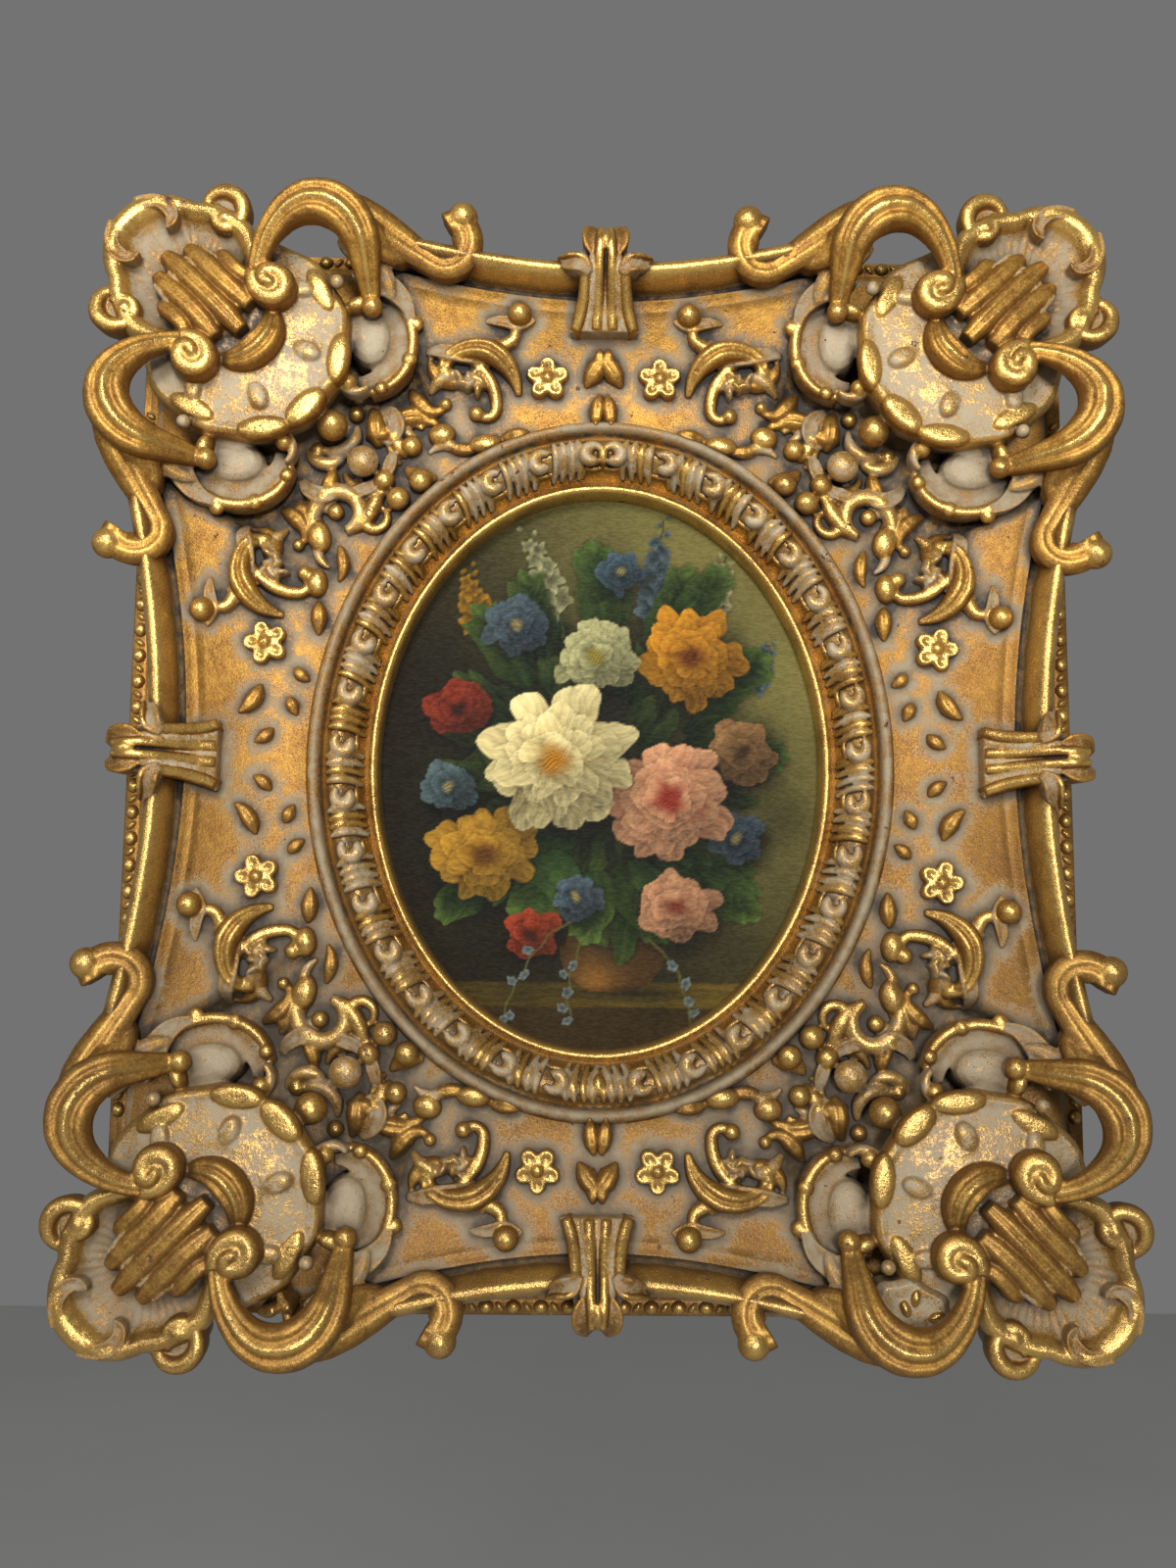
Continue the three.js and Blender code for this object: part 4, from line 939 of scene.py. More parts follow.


# Leaf over cream paint over dark wood, worn by how high and how open a spot is, with painted shade in the
# hollows, the grooves and the lower half, and a painted highlight along the crests
giltWearAndShade = {
    # scale, detail and roughness of each noise, and the least and most it adds to the leaf
    "noises": {"broad": (55, 3, 0.55), "patch": (210, 4, 0.6), "fine": (900, 3, 0.6),
               "grit": (2300, 2, 0.5)},
    "leafNoise": {"broad": (-0.12, 0.12), "patch": (-0.2, 0.16), "fine": (-0.2, 0.16), "grit": (-0.1, 0.1)},
    "leafShare": {"gilt": 0.95, "crest": 0.36, "openness": 0.35}, "leafBase": -0.4,
    "goldFrom": (0.14, 0.42),
    # brown where thin, yellow where sound, a painted highlight along the crests, painted shade in the grooves
    # and the hollows
    "goldTones": ((0.36, 0.155, 0.022), (0.54, 0.285, 0.048)),
    "goldLayers": (
        ("fine", 0.48, 0.66, 0.5, (0.72, 0.45, 0.11)), ("crest", 0.72, 1, 0.6, (0.88, 0.58, 0.17)),
        ("broad", 0.5, 0.7, 0.45, (0.3, 0.13, 0.022)), ("crest", 0.68, 0.42, 0.65, (0.2, 0.085, 0.016)),
        ("openness", 0.95, 0.55, 0.85, (0.2, 0.085, 0.016)),
        ("leaf", 0.66, 0.34, 0.75, (0.4, 0.225, 0.075))),
    "speckTone": (0.1, 0.05, 0.016),
    # cream with brown rubbed into it, palest on the crests as rubbed paint and painted highlight, with
    # painted shade in the hollows
    "paintTones": ((0.345, 0.268, 0.158), (0.235, 0.168, 0.09)),
    "paintLayers": (
        ("broad", 0.46, 0.68, 0.5, (0.3, 0.185, 0.075)), ("crest", 0.75, 1, 0.55, (0.52, 0.435, 0.29)),
        ("openness", 0.95, 0.55, 0.9, (0.125, 0.085, 0.045)),
        ("grit", 0.58, 0.7, 0.55, (0.18, 0.12, 0.065))),
    "chipNoise": (130, 5, 0.7), "chipTone": (0.075, 0.02, 0.013), "shadeAndGrimeTone": (0.022, 0.015, 0.009),
    # painted shade darkens the lower half, between these heights in metres
    "paintedShadeLow": ("height", -0.14, -0.33, 0.34, (0.085, 0.055, 0.024)),
    "metallic": 0.8, "paintRough": 0.66, "goldRough": (0.44, 0.6), "burnish": 0.24,
}


def makeGiltWearAndShade(s=giltWearAndShade):
    value, vector, colour = "NodeSocketFloat", "NodeSocketVector", "NodeSocketColor"
    group, given, made = startGroup(
        "giltWearAndShade",
        [("Place", vector), ("Gilt", value), ("Crest", value), ("Openness", value), ("Chip", value)],
        [("Color", colour), ("Metallic", value), ("Roughness", value), ("Height", value)])
    place, openness = given["Place"], given["Openness"]
    noises = {name: addNoise(group, place, *noise) for name, noise in s["noises"].items()}
    broad, patch, fine, grit = noises.values()
    spread = group.nodes.new("ShaderNodeSeparateXYZ")
    group.links.new(place, spread.inputs[0])
    leaf = addMath(group, "MULTIPLY_ADD", given["Gilt"], s["leafShare"]["gilt"], s["leafBase"])
    leaf = addMath(group, "MULTIPLY_ADD", given["Crest"], s["leafShare"]["crest"], leaf)
    leaf = addMath(group, "MULTIPLY_ADD", openness, s["leafShare"]["openness"], leaf)
    for name, (least, most) in s["leafNoise"].items():
        leaf = addMath(group, "ADD", leaf, addRange(group, noises[name], 0.3, 0.7, least, most))
    gold = addRange(group, leaf, *s["goldFrom"])
    sources = {**noises, "crest": given["Crest"], "openness": openness, "leaf": leaf,
               "height": spread.outputs["Z"]}
    goldTone = addMix(group, addRange(group, patch, 0.34, 0.62), *s["goldTones"])
    goldTone = addLayers(group, goldTone, s["goldLayers"], sources)
    specks = addMath(group, "MULTIPLY", addRange(group, grit, 0.5, 0.62),
                     addRange(group, broad, 0.36, 0.62, 0.3, 0.95))
    goldTone = addMix(group, specks, goldTone, s["speckTone"])
    paint = addMix(group, addRange(group, patch, 0.35, 0.68), *s["paintTones"])
    paint = addLayers(group, paint, s["paintLayers"], sources)
    tone = addMix(group, gold, paint, goldTone)
    chips = addMath(group, "MULTIPLY", addRange(group, addNoise(group, place, *s["chipNoise"]), 0.66, 0.69),
                    addRange(group, openness, 0.7, 0.85))
    chips = addMath(group, "MAXIMUM", chips, given["Chip"])
    tone = addMix(group, chips, tone, s["chipTone"])
    # painted shade with some grime: where a spot is least open its colour goes nearly black and loses its
    # metal
    shaken = addMath(group, "ADD", openness, addRange(group, patch, 0.3, 0.7, -0.1, 0.1))
    shadeAndGrime = addRange(group, shaken, 0.68, 0.36)
    tone = addMix(group, shadeAndGrime, tone, s["shadeAndGrimeTone"])
    # painted shade over the lower half
    group.links.new(addLayers(group, tone, [s["paintedShadeLow"]], sources), made["Color"])
    # metal only where clean sound leaf shows
    bright = addMath(group, "MULTIPLY", gold, s["metallic"])
    thin = addRange(group, leaf, 0.66, 0.34)
    for cover, share in ((shadeAndGrime, 1), (chips, 1), (specks, 0.7), (thin, 0.6)):
        bright = addMath(group, "MULTIPLY", bright, addMath(group, "MULTIPLY_ADD", cover, -share, 1))
    group.links.new(bright, made["Metallic"])
    burnish = addRange(group, given["Crest"], 0.72, 1, 0, s["burnish"])
    rough = addMath(group, "SUBTRACT", addRange(group, fine, 0.3, 0.7, *s["goldRough"]), burnish)
    group.links.new(addMix(group, gold, (s["paintRough"],) * 3, rough), made["Roughness"])
    height = addMath(group, "MULTIPLY_ADD", fine, 0.6, addMath(group, "MULTIPLY", patch, 0.8))
    height = addMath(group, "MULTIPLY_ADD", grit, 0.25, height)
    group.links.new(addMath(group, "MULTIPLY_ADD", chips, -0.7, height), made["Height"])
    return group


def startMaterial(name):
    material = bpy.data.materials.new(name)
    material.use_nodes = True
    tree = material.node_tree
    place = tree.nodes.new("ShaderNodeTexCoord").outputs["Object"]
    return material, tree, tree.nodes["Principled BSDF"].inputs, place


def addBump(tree, shader, height, distance, strength):
    bump = tree.nodes.new("ShaderNodeBump")
    bump.inputs["Strength"].default_value = strength
    bump.inputs["Distance"].default_value = distance
    tree.links.new(height, bump.inputs["Height"])
    tree.links.new(bump.outputs["Normal"], shader["Normal"])


def readAttribute(tree, name, output="Fac"):
    node = tree.nodes.new("ShaderNodeAttribute")
    node.attribute_type = "GEOMETRY"
    node.attribute_name = name
    return node.outputs[output]


def makeParcelGilt(group):
    material, tree, shader, place = startMaterial("parcel_gilt")
    wearAndShade = tree.nodes.new("ShaderNodeGroup")
    wearAndShade.node_tree = group
    tree.links.new(place, wearAndShade.inputs["Place"])
    for label, name in (("Gilt", "gilt"), ("Crest", "crest"), ("Openness", "openness"), ("Chip", "chip")):
        tree.links.new(readAttribute(tree, name), wearAndShade.inputs[label])
    for label, socket in (("Color", "Base Color"), ("Metallic", "Metallic"), ("Roughness", "Roughness")):
        tree.links.new(wearAndShade.outputs[label], shader[socket])
    addBump(tree, shader, wearAndShade.outputs["Height"], 0.00035, 0.8)
    return material


def makeWood(name, light, dark, stretch, scale=60):
    material, tree, shader, place = startMaterial(name)
    grain = tree.nodes.new("ShaderNodeMapping")
    grain.inputs["Scale"].default_value = stretch
    tree.links.new(place, grain.inputs["Vector"])
    lines = addNoise(tree, grain.outputs["Vector"], scale, 6, 0.65)
    fibres = addNoise(tree, grain.outputs["Vector"], scale * 6, 4, 0.6)
    stain = addNoise(tree, place, 14, 4, 0.6)
    tone = addMix(tree, addRange(tree, lines, 0.35, 0.65), light, dark)
    tone = addMix(tree, addRange(tree, fibres, 0.45, 0.7, 0, 0.45), tone, dark)
    tone = addMix(tree, addRange(tree, stain, 0.45, 0.72, 0, 0.5), tone, tuple(c * 0.45 for c in dark))
    tree.links.new(tone, shader["Base Color"])
    tree.links.new(addRange(tree, lines, 0.3, 0.7, 0.62, 0.82), shader["Roughness"])
    addBump(tree, shader, addMath(tree, "MULTIPLY_ADD", fibres, 0.5, lines), 0.0006, 0.6)
    return material


def makeSteel():
    material, tree, shader, place = startMaterial("steel")
    brushed = tree.nodes.new("ShaderNodeMapping")
    brushed.inputs["Scale"].default_value = (1, 1, 14)
    tree.links.new(place, brushed.inputs["Vector"])
    lines = addNoise(tree, brushed.outputs["Vector"], 300, 4, 0.6)
    spots = addNoise(tree, place, 260, 4, 0.65)
    tone = addMix(tree, addRange(tree, lines, 0.3, 0.7), (0.42, 0.41, 0.39), (0.6, 0.59, 0.56))
    tone = addMix(tree, addRange(tree, spots, 0.6, 0.72, 0, 0.8), tone, (0.2, 0.12, 0.06))
    tree.links.new(tone, shader["Base Color"])
    tree.links.new(addRange(tree, spots, 0.58, 0.7, 0.95, 0.35), shader["Metallic"])
    tree.links.new(addRange(tree, lines, 0.3, 0.7, 0.3, 0.48), shader["Roughness"])
    addBump(tree, shader, lines, 0.00008, 0.5)
    return material


def makeOilPaint():
    material, tree, shader, place = startMaterial("oil_paint")
    colour = readAttribute(tree, "paint", "Color")
    strokes = tree.nodes.new("ShaderNodeMapping")
    strokes.inputs["Rotation"].default_value = (0, radians(35), 0)
    strokes.inputs["Scale"].default_value = (1, 1, 3.2)
    tree.links.new(place, strokes.inputs["Vector"])
    brush = addNoise(tree, strokes.outputs["Vector"], 420, 4, 0.6)
    fine = addNoise(tree, place, 1900, 2, 0.5)
    glaze = addNoise(tree, place, 30, 3, 0.6)
    tone = addMix(tree, addRange(tree, brush, 0.35, 0.7, 0, 0.4), colour, (0.03, 0.022, 0.01), "SOFT_LIGHT")
    tone = addMix(tree, addRange(tree, brush, 0.5, 0.75, 0, 0.25), tone, (0.7, 0.62, 0.42), "SOFT_LIGHT")
    tone = addMix(tree, addRange(tree, glaze, 0.4, 0.7, 0, 0.06), tone, (0.08, 0.06, 0.02))
    tone = addMix(tree, 1, tone, (0.8, 0.72, 0.46), "MULTIPLY")   # yellowed varnish
    tree.links.new(tone, shader["Base Color"])
    tree.links.new(addRange(tree, brush, 0.3, 0.7, 0.5, 0.64), shader["Roughness"])
    shader["Specular IOR Level"].default_value = 0.1
    addBump(tree, shader, addMath(tree, "MULTIPLY_ADD", fine, 0.3, brush), 0.0002, 0.5)
    return material


print("making materials")
parcelGilt = makeParcelGilt(makeGiltWearAndShade())
bareWood = makeWood("bare_wood", (0.36, 0.23, 0.12), (0.2, 0.115, 0.055), (0.12, 1, 1))
boardWood = makeWood("board", (0.2, 0.125, 0.065), (0.115, 0.065, 0.032), (1, 1, 0.1), 80)
panelWood = makeWood("panel_wood", (0.3, 0.2, 0.11), (0.17, 0.1, 0.05), (1, 1, 0.12), 70)
steel = makeSteel()
oilPaint = makeOilPaint()


# The picture: a bunch of flowers on a ledge. Places are in mm from the oval's middle.
picture = {
    "columns": 256, "rows": 326, "margin": 2.5, "faceDepth": 9, "seed": 11, "foliage": 74,
    "blooms": [
        # spot, radius, petals in each ring, root colour, tip colour, heart colour, squash
        ((8, 88), 11, (11, 8), (0.015, 0.03, 0.07), (0.06, 0.11, 0.21), (0.3, 0.27, 0.16), 0.9),
        ((-62, 26), 16, (10, 8, 6), (0.1, 0.012, 0.008), (0.24, 0.035, 0.018), (0.04, 0.012, 0.008), 0.85),
        ((62, 8), 16, (10, 8, 6), (0.11, 0.07, 0.035), (0.26, 0.15, 0.085), (0.06, 0.03, 0.015), 0.95),
        ((-37, 64), 15, (13, 10, 7), (0.015, 0.03, 0.07), (0.07, 0.115, 0.2), (0.34, 0.3, 0.18), 0.9),
        ((-50, -38), 23, (14, 12, 9, 6), (0.2, 0.075, 0.008), (0.45, 0.265, 0.04), (0.16, 0.06, 0.008), 0.92),
        ((40, 50), 24, (15, 13, 9, 6), (0.22, 0.07, 0.005), (0.48, 0.235, 0.022), (0.16, 0.045, 0.006), 0.95),
        ((60, -30), 13, (12, 8), (0.015, 0.028, 0.065), (0.065, 0.105, 0.19), (0.32, 0.29, 0.18), 0.9),
        ((-66, -8), 13, (11, 8), (0.02, 0.04, 0.075), (0.09, 0.15, 0.23), (0.34, 0.31, 0.2), 0.9),
        ((-10, -56), 12, (11, 8), (0.02, 0.035, 0.08), (0.085, 0.135, 0.24), (0.34, 0.3, 0.18), 0.85),
        ((33, -60), 20, (13, 11, 8, 5), (0.26, 0.1, 0.075), (0.5, 0.28, 0.21), (0.24, 0.05, 0.035), 0.8),
        ((-29, -72), 13, (10, 7), (0.13, 0.015, 0.008), (0.32, 0.05, 0.022), (0.05, 0.015, 0.008), 0.8),
        ((-2, 50), 19, (13, 11, 8, 6), (0.17, 0.2, 0.12), (0.46, 0.47, 0.33), (0.36, 0.3, 0.06), 0.92),
        ((30, -13), 29, (14, 13, 10, 8, 5), (0.3, 0.06, 0.045), (0.6, 0.34, 0.26), (0.36, 0.04, 0.03), 0.92),
        ((-20, 4), 35, (16, 15, 12, 9), (0.4, 0.31, 0.14), (0.76, 0.7, 0.5), (0.58, 0.27, 0.02), 0.92),
    ],
    "leaves": [
        # root, heading, length, width, how light
        ((-12, -34), 206, 46, 12, 0.9), ((-12, -38), 232, 40, 13, 1.5), ((0, -44), 258, 34, 11, 1.2),
        ((12, -40), 296, 40, 12, 0.8), ((24, -34), 336, 50, 11, 0.7), ((-34, 14), 158, 40, 11, 0.7),
        ((-30, 36), 126, 46, 10, 0.8), ((2, 58), 98, 46, 10, 0.9), ((22, 50), 66, 46, 9, 0.8),
        ((40, 30), 30, 42, 11, 0.9), ((46, 2), 8, 38, 11, 0.7), ((-22, 48), 108, 44, 8, 0.7),
        ((-50, -50), 216, 26, 9, 0.9), ((46, -46), 320, 30, 10, 0.8), ((34, 66), 48, 34, 9, 0.9),
    ],
    "spikes": [
        # start, heading, length, bend, petal colour
        ((24, 58), 94, 54, -18, (0.09, 0.15, 0.25)), ((-16, 58), 104, 56, 14, (0.38, 0.4, 0.29)),
        ((44, 62), 60, 36, 24, (0.34, 0.36, 0.26)), ((-50, 58), 118, 32, -24, (0.42, 0.23, 0.02)),
        ((60, 34), 38, 26, 40, (0.1, 0.16, 0.24)),
    ],
    # start, heading, length, bend
    "sprigs": [((-12, -66), 215, 56, 50), ((-4, -70), 240, 40, 40), ((22, -74), 318, 42, -50)],
}


def linear(rgb):
    return np.array(rgb, np.float64)


def spotsNear(spots, centre, reach):
    return np.flatnonzero((abs(spots[:, 0] - centre[0]) < reach) & (abs(spots[:, 1] - centre[1]) < reach))


def brushPetal(colours, spots, root, angle, length, width, low, high, light, blunt=0.62, vein=0, cast=0.4,
               full=False):
    near = spotsNear(spots, root, length * 1.25 + 3)
    dx, dz = spots[near, 0] - root[0], spots[near, 1] - root[1]
    a = (dx * cos(angle) + dz * sin(angle)) / length
    b = (dz * cos(angle) - dx * sin(angle)) / width
    half = np.sin(pi * np.clip(a, 0, 1) ** blunt) ** 0.7
    if full:                    # a broad petal with a ruffled end
        half = np.clip(1 - abs(2 * np.clip(a, 0, 1) ** blunt - 1) ** 2.6, 0, 1) ** 0.5
        half = half * (1 + 0.07 * np.sin(a * 9 + angle * 5))
    inside = np.where((a > 0) & (a < 1), (half - abs(b)) * width, -9)
    cover = np.clip(inside / 0.8 + 0.5, 0, 1)
    shadow = np.clip((inside + 2.4) / 2.4, 0, 1) * (1 - cover) * cast
    colours[near] *= 1 - shadow[:, None]
    tone = low + (high - low) * (np.clip(a * 1.1, 0, 1) ** 1.3)[:, None]
    streak = 0.1 * np.sin(b * 9 + a * 4 + angle) + 0.07 * np.sin(b * 23 - a * 9)
    streak += 0.05 * np.sin(a * 31 + b * 7)
    rim = 0.24 * np.clip(1 - inside / 1.1, 0, 1) * (a > 0.35) - 0.3 * np.clip(0.45 - a, 0, 1)
    middle = vein * np.exp(-(b / 0.1) ** 2)
    side = 0.14 * b
    tone = tone * (light + streak + rim + middle + side)[:, None]
    colours[near] += (tone - colours[near]) * cover[:, None]


def brushBloom(colours, spots, draw, bloom):
    centre, radius, rings, low, high, heart, squash = bloom
    low, high, heart = linear(low), linear(high), linear(heart)
    near = spotsNear(spots, (centre[0] + 2, centre[1] - 4), radius * 1.5)
    away = np.hypot(spots[near, 0] - centre[0] - 2, (spots[near, 1] - centre[1] + 4) / squash) / radius
    colours[near] *= (1 - 0.62 * np.clip(1.32 - away, 0, 0.6) / 0.6)[:, None]
    for k, count in enumerate(rings):
        reach = radius * (1 - 0.78 * k / len(rings))
        start = draw.uniform(0, 2 * pi)
        for i in range(count):
            angle = start + 2 * pi * i / count + draw.uniform(-0.2, 0.2)
            length = reach * draw.uniform(0.8, 1.12) * (squash if abs(sin(angle)) > 0.6 else 1)
            light = 0.8 + 0.24 * cos(angle - 2) + draw.uniform(-0.12, 0.12) + 0.05 * k
            warm = 1 + draw.uniform(-0.06, 0.06)
            root = (centre[0] + draw.uniform(-0.05, 0.05) * radius,
                    centre[1] + draw.uniform(-0.05, 0.05) * radius)
            brushPetal(colours, spots, root, angle, length, reach * draw.uniform(2.9, 3.9) / count,
                       low * warm, high, light, draw.uniform(1.1, 1.4), cast=0.26, full=True)
    near = spotsNear(spots, centre, radius * 1.1)   # the whole bloom turns away from the light
    dx, dz = (spots[near, 0] - centre[0]) / radius, (spots[near, 1] - centre[1]) / radius
    dome = np.clip(1.15 - np.hypot(dx, dz), 0, 0.3) / 0.3
    colours[near] *= (1 + dome * np.clip(0.24 * (dz - dx) - 0.06, -0.34, 0.2))[:, None]
    near = spotsNear(spots, centre, radius * 0.3)
    away = np.hypot(spots[near, 0] - centre[0], spots[near, 1] - centre[1]) / (radius * 0.17)
    dots = 0.75 + 0.5 * np.sin(spots[near, 0] * 5.1) * np.sin(spots[near, 1] * 4.7)
    colours[near] += (heart * dots[:, None] - colours[near]) * np.clip(1.5 - away, 0, 1)[:, None]


def brushStem(colours, spots, points, width, tone):
    for (x0, z0), (x1, z1) in zip(points, points[1:]):
        length = hypot(x1 - x0, z1 - z0)
        near = spotsNear(spots, ((x0 + x1) / 2, (z0 + z1) / 2), length + 3)
        dx, dz = spots[near, 0] - x0, spots[near, 1] - z0
        t = np.clip((dx * (x1 - x0) + dz * (z1 - z0)) / length ** 2, 0, 1)
        away = np.hypot(dx - t * (x1 - x0), dz - t * (z1 - z0))
        cover = np.clip((width - away) / 0.6 + 0.5, 0, 1)[:, None]
        colours[near] += (linear(tone) - colours[near]) * cover


def curved(start, heading, length, bend, pieces=10):
    x, z = start
    points = [(x, z)]
    for i in range(pieces):
        angle = radians(heading + bend * i / pieces)
        x, z = x + cos(angle) * length / pieces, z + sin(angle) * length / pieces
        points.append((x, z))
    return points


def brushPicture(spots, s=picture):
    draw = random.Random(s["seed"])
    x, z = spots[:, 0].copy(), spots[:, 1].copy()
    spots = spots.copy()        # a loose hand: every outline wavers a little
    spots[:, 0] += 0.55 * np.sin(z / 1.9 + x / 5.3) + 0.4 * np.sin(z / 4.3 - x / 2.7)
    spots[:, 1] += 0.55 * np.sin(x / 2.1 - z / 4.9) + 0.4 * np.sin(x / 4.7 + z / 3.1)
    dark, pale = linear((0.014, 0.011, 0.004)), linear((0.205, 0.195, 0.082))
    lit = np.clip(0.43 + x / 210 + z / 220 - 0.25 * np.exp(-((x + 60) / 50) ** 2), 0, 1) ** 1.5
    cloud = 0.5 + 0.25 * np.sin(x / 17 + z / 31) + 0.25 * np.sin(z / 13 - x / 29 + 1.3)
    colours = dark + (pale - dark) * (lit * (0.8 + 0.3 * cloud))[:, None]
    # the ledge and its shadowed front
    ledge = np.clip((-92 - z) / 1.2, 0, 1)[:, None]
    grain = 0.85 + 0.15 * np.sin(z * 2.1 + np.sin(x / 9) * 2)
    glow = (0.35 + 0.65 * np.clip((x + 70) / 120, 0, 1))[:, None]
    colours += (linear((0.165, 0.12, 0.02)) * grain[:, None] * glow - colours) * ledge
    front = np.clip((-102.5 - z) / 0.9, 0, 1)[:, None]
    colours += (linear((0.04, 0.024, 0.006)) * (0.6 + 0.4 * grain[:, None]) - colours) * front
    # a low brown bowl
    bowlZ = (z + 79) / 19
    bowlHalf = 23 * np.sqrt(np.clip(1 - (np.clip(-bowlZ, -0.4, 1)) ** 2, 0, 1)) * (1 - 0.1 * (bowlZ > 0.1))
    inside = np.where((bowlZ > -0.93) & (bowlZ < 0.8), bowlHalf - abs(x - 6), -9)
    shine = 0.55 + 0.75 * np.exp(-((x + 1) / 7) ** 2) - 0.35 * np.clip((x - 10) / 20, 0, 1)
    bowl = linear((0.24, 0.115, 0.03)) * shine[:, None]
    colours += (bowl - colours) * np.clip(inside / 0.8, 0, 1)[:, None]
    shade = np.exp(-((x - 14) / 34) ** 2 - ((z + 97) / 3.4) ** 2) * 0.75
    colours *= (1 - shade)[:, None]
    # a dark mass of foliage behind the flowers
    mass = 1.25 - np.hypot((x + 2) / 72, (z + 4) / 80)
    mass += 0.12 * np.sin(x / 9 + z / 14) + 0.1 * np.sin(z / 7 - x / 11)
    colours += (linear((0.011, 0.013, 0.005)) - colours) * (0.88 * np.clip(mass * 2, 0, 1))[:, None]
    for i in range(s["foliage"]):
        angle = 2 * pi * i / s["foliage"] + draw.uniform(-0.2, 0.2)
        reach = draw.uniform(0.35, 1)
        root = (cos(angle) * 52 * reach, sin(angle) * 60 * reach - 2)
        low, high = linear((0.008, 0.019, 0.006)), linear((0.04, 0.07, 0.02))
        brushPetal(colours, spots, root, angle + draw.uniform(-0.6, 0.6), draw.uniform(18, 32),
                   draw.uniform(3.5, 7), low, high, draw.uniform(0.45, 1.3), 0.8, 0.4, 0.35)
    # stems with buds, then leaves, then the blooms from the back to the front
    for start, heading, length, bend, tint in s["spikes"]:
        path = curved(start, heading, length, bend, 14)
        brushStem(colours, spots, path, 0.5, (0.05, 0.07, 0.025))
        for k in range(3, 15):      # small flowers up both sides, down to buds at the tip
            side = 1 if k % 2 else -1
            angle = radians(heading + bend * k / 14 + side * 48)
            size = 8.2 - k * 0.4
            spot = (path[k][0] + cos(angle) * size * 0.5, path[k][1] + sin(angle) * size * 0.5)
            for j in range(5 if k < 12 else 1):
                lean = angle + (j - 2) * 1.2 * (k < 12) + draw.uniform(-0.2, 0.2)
                brushPetal(colours, spots, spot, lean, size, size * 0.34, linear(tint) * 0.4,
                           linear(tint), draw.uniform(0.7, 1.15), 0.8, 0, 0.25)
    for root, heading, length, width, light in s["leaves"]:
        low, high = linear((0.014, 0.036, 0.012)), linear((0.075, 0.135, 0.036))
        brushPetal(colours, spots, root, radians(heading), length, width, low, high, light, 0.8, 0.5, 0.5)
        for side in (-1, 1):
            for k in range(3):
                angle = radians(heading + side * (22 + 9 * k))
                spot = (root[0] + cos(radians(heading)) * length * (0.35 + 0.16 * k),
                        root[1] + sin(radians(heading)) * length * (0.35 + 0.16 * k))
                brushPetal(colours, spots, spot, angle, length * (0.42 - 0.06 * k), width * 0.42, low,
                           high, light * draw.uniform(0.8, 1.15), 0.75, 0.4, 0.3)
    for bloom in s["blooms"]:
        brushBloom(colours, spots, draw, bloom)
    # a trailing sprig of small blue flowers over the ledge
    for start, heading, length, bend in s["sprigs"]:
        path = curved(start, heading, length, bend)
        brushStem(colours, spots, path, 0.4, (0.11, 0.12, 0.04))
        for k in (4, 6, 7, 9, 10):
            spot = (path[k][0] + draw.uniform(-3, 3), path[k][1] + draw.uniform(-2, 4))
            for j in range(5):
                brushPetal(colours, spots, spot, 2 * pi * j / 5, 2.3, 1, linear((0.07, 0.1, 0.16)),
                           linear((0.2, 0.27, 0.36)), draw.uniform(0.7, 1.1), 0.9, 0, 0.15)
    return np.clip(colours, 0.004, 0.95)


def extrudeRim(bm):
    made = bmesh.ops.extrude_edge_only(bm, edges=[e for e in bm.edges if e.is_boundary])["geom"]
    return [v for v in made if isinstance(v, bmesh.types.BMVert)]


def makePicture(s=picture):
    wide, tall = (sightWide + s["margin"]) * mm, (sightTall + s["margin"]) * mm
    face = frameBack - s["faceDepth"] * mm
    bm = bmesh.new()
    bmesh.ops.create_grid(bm, x_segments=s["columns"], y_segments=s["rows"], size=1)
    for vert in bm.verts:       # the square grid is eased into the oval
        x, y = vert.co.x, vert.co.y
        vert.co = (x * sqrt(1 - y * y / 2) * wide, face, middleZ + y * sqrt(1 - x * x / 2) * tall)
    for vert in extrudeRim(bm):     # out to the panel's square edge
        x, z = vert.co.x / wide, (vert.co.z - middleZ) / tall
        stretch = 1 / max(abs(x), abs(z))
        vert.co.x = x * stretch * pictureHigh.x
        vert.co.z = middleZ + z * stretch * (pictureHigh.z - middleZ)
    for vert in extrudeRim(bm):     # and back
        vert.co.y = pictureHigh.y
    bmesh.ops.contextual_create(bm, geom=[e for e in bm.edges if e.is_boundary])
    bmesh.ops.recalc_face_normals(bm, faces=bm.faces)
    mesh = meshOf(bm, "painted_panel")
    co = readCo(mesh)
    spots = np.stack([co[:, 0] / mm, (co[:, 2] - middleZ) / mm], 1).astype(np.float64)
    colours = np.ones((len(co), 4), np.float32)
    colours[:, :3] = brushPicture(spots)
    paint = mesh.color_attributes.new("paint", "FLOAT_COLOR", "POINT")
    paint.data.foreach_set("color", colours.ravel())
    mesh.materials.append(oilPaint)
    mesh.materials.append(panelWood)
    for polygon in mesh.polygons:
        polygon.material_index = 0 if polygon.normal.y < -0.5 else 1
    return mesh


# Putting it together
print("moulding")
mouldingMesh = meshOf(makeMoulding(), "moulding")
cornerShift = Vector((-moulding["railHalfWide"], -moulding["railHalfTall"], 0))
mouldingTree = treeOf([(mouldingMesh, Matrix.Translation(cornerShift))])
print("corner carving")
cornerMesh = makeCarving()
print("clasps")
topClasp = makeClasp("clasp_top", clasp["topStart"])
sideClasp = makeClasp("clasp_side", clasp["sideStart"])
print("leaf band")
bandMesh = makeBand()
print("edge course")
courseMesh = meshOf(makeCourse(), "edge_course")

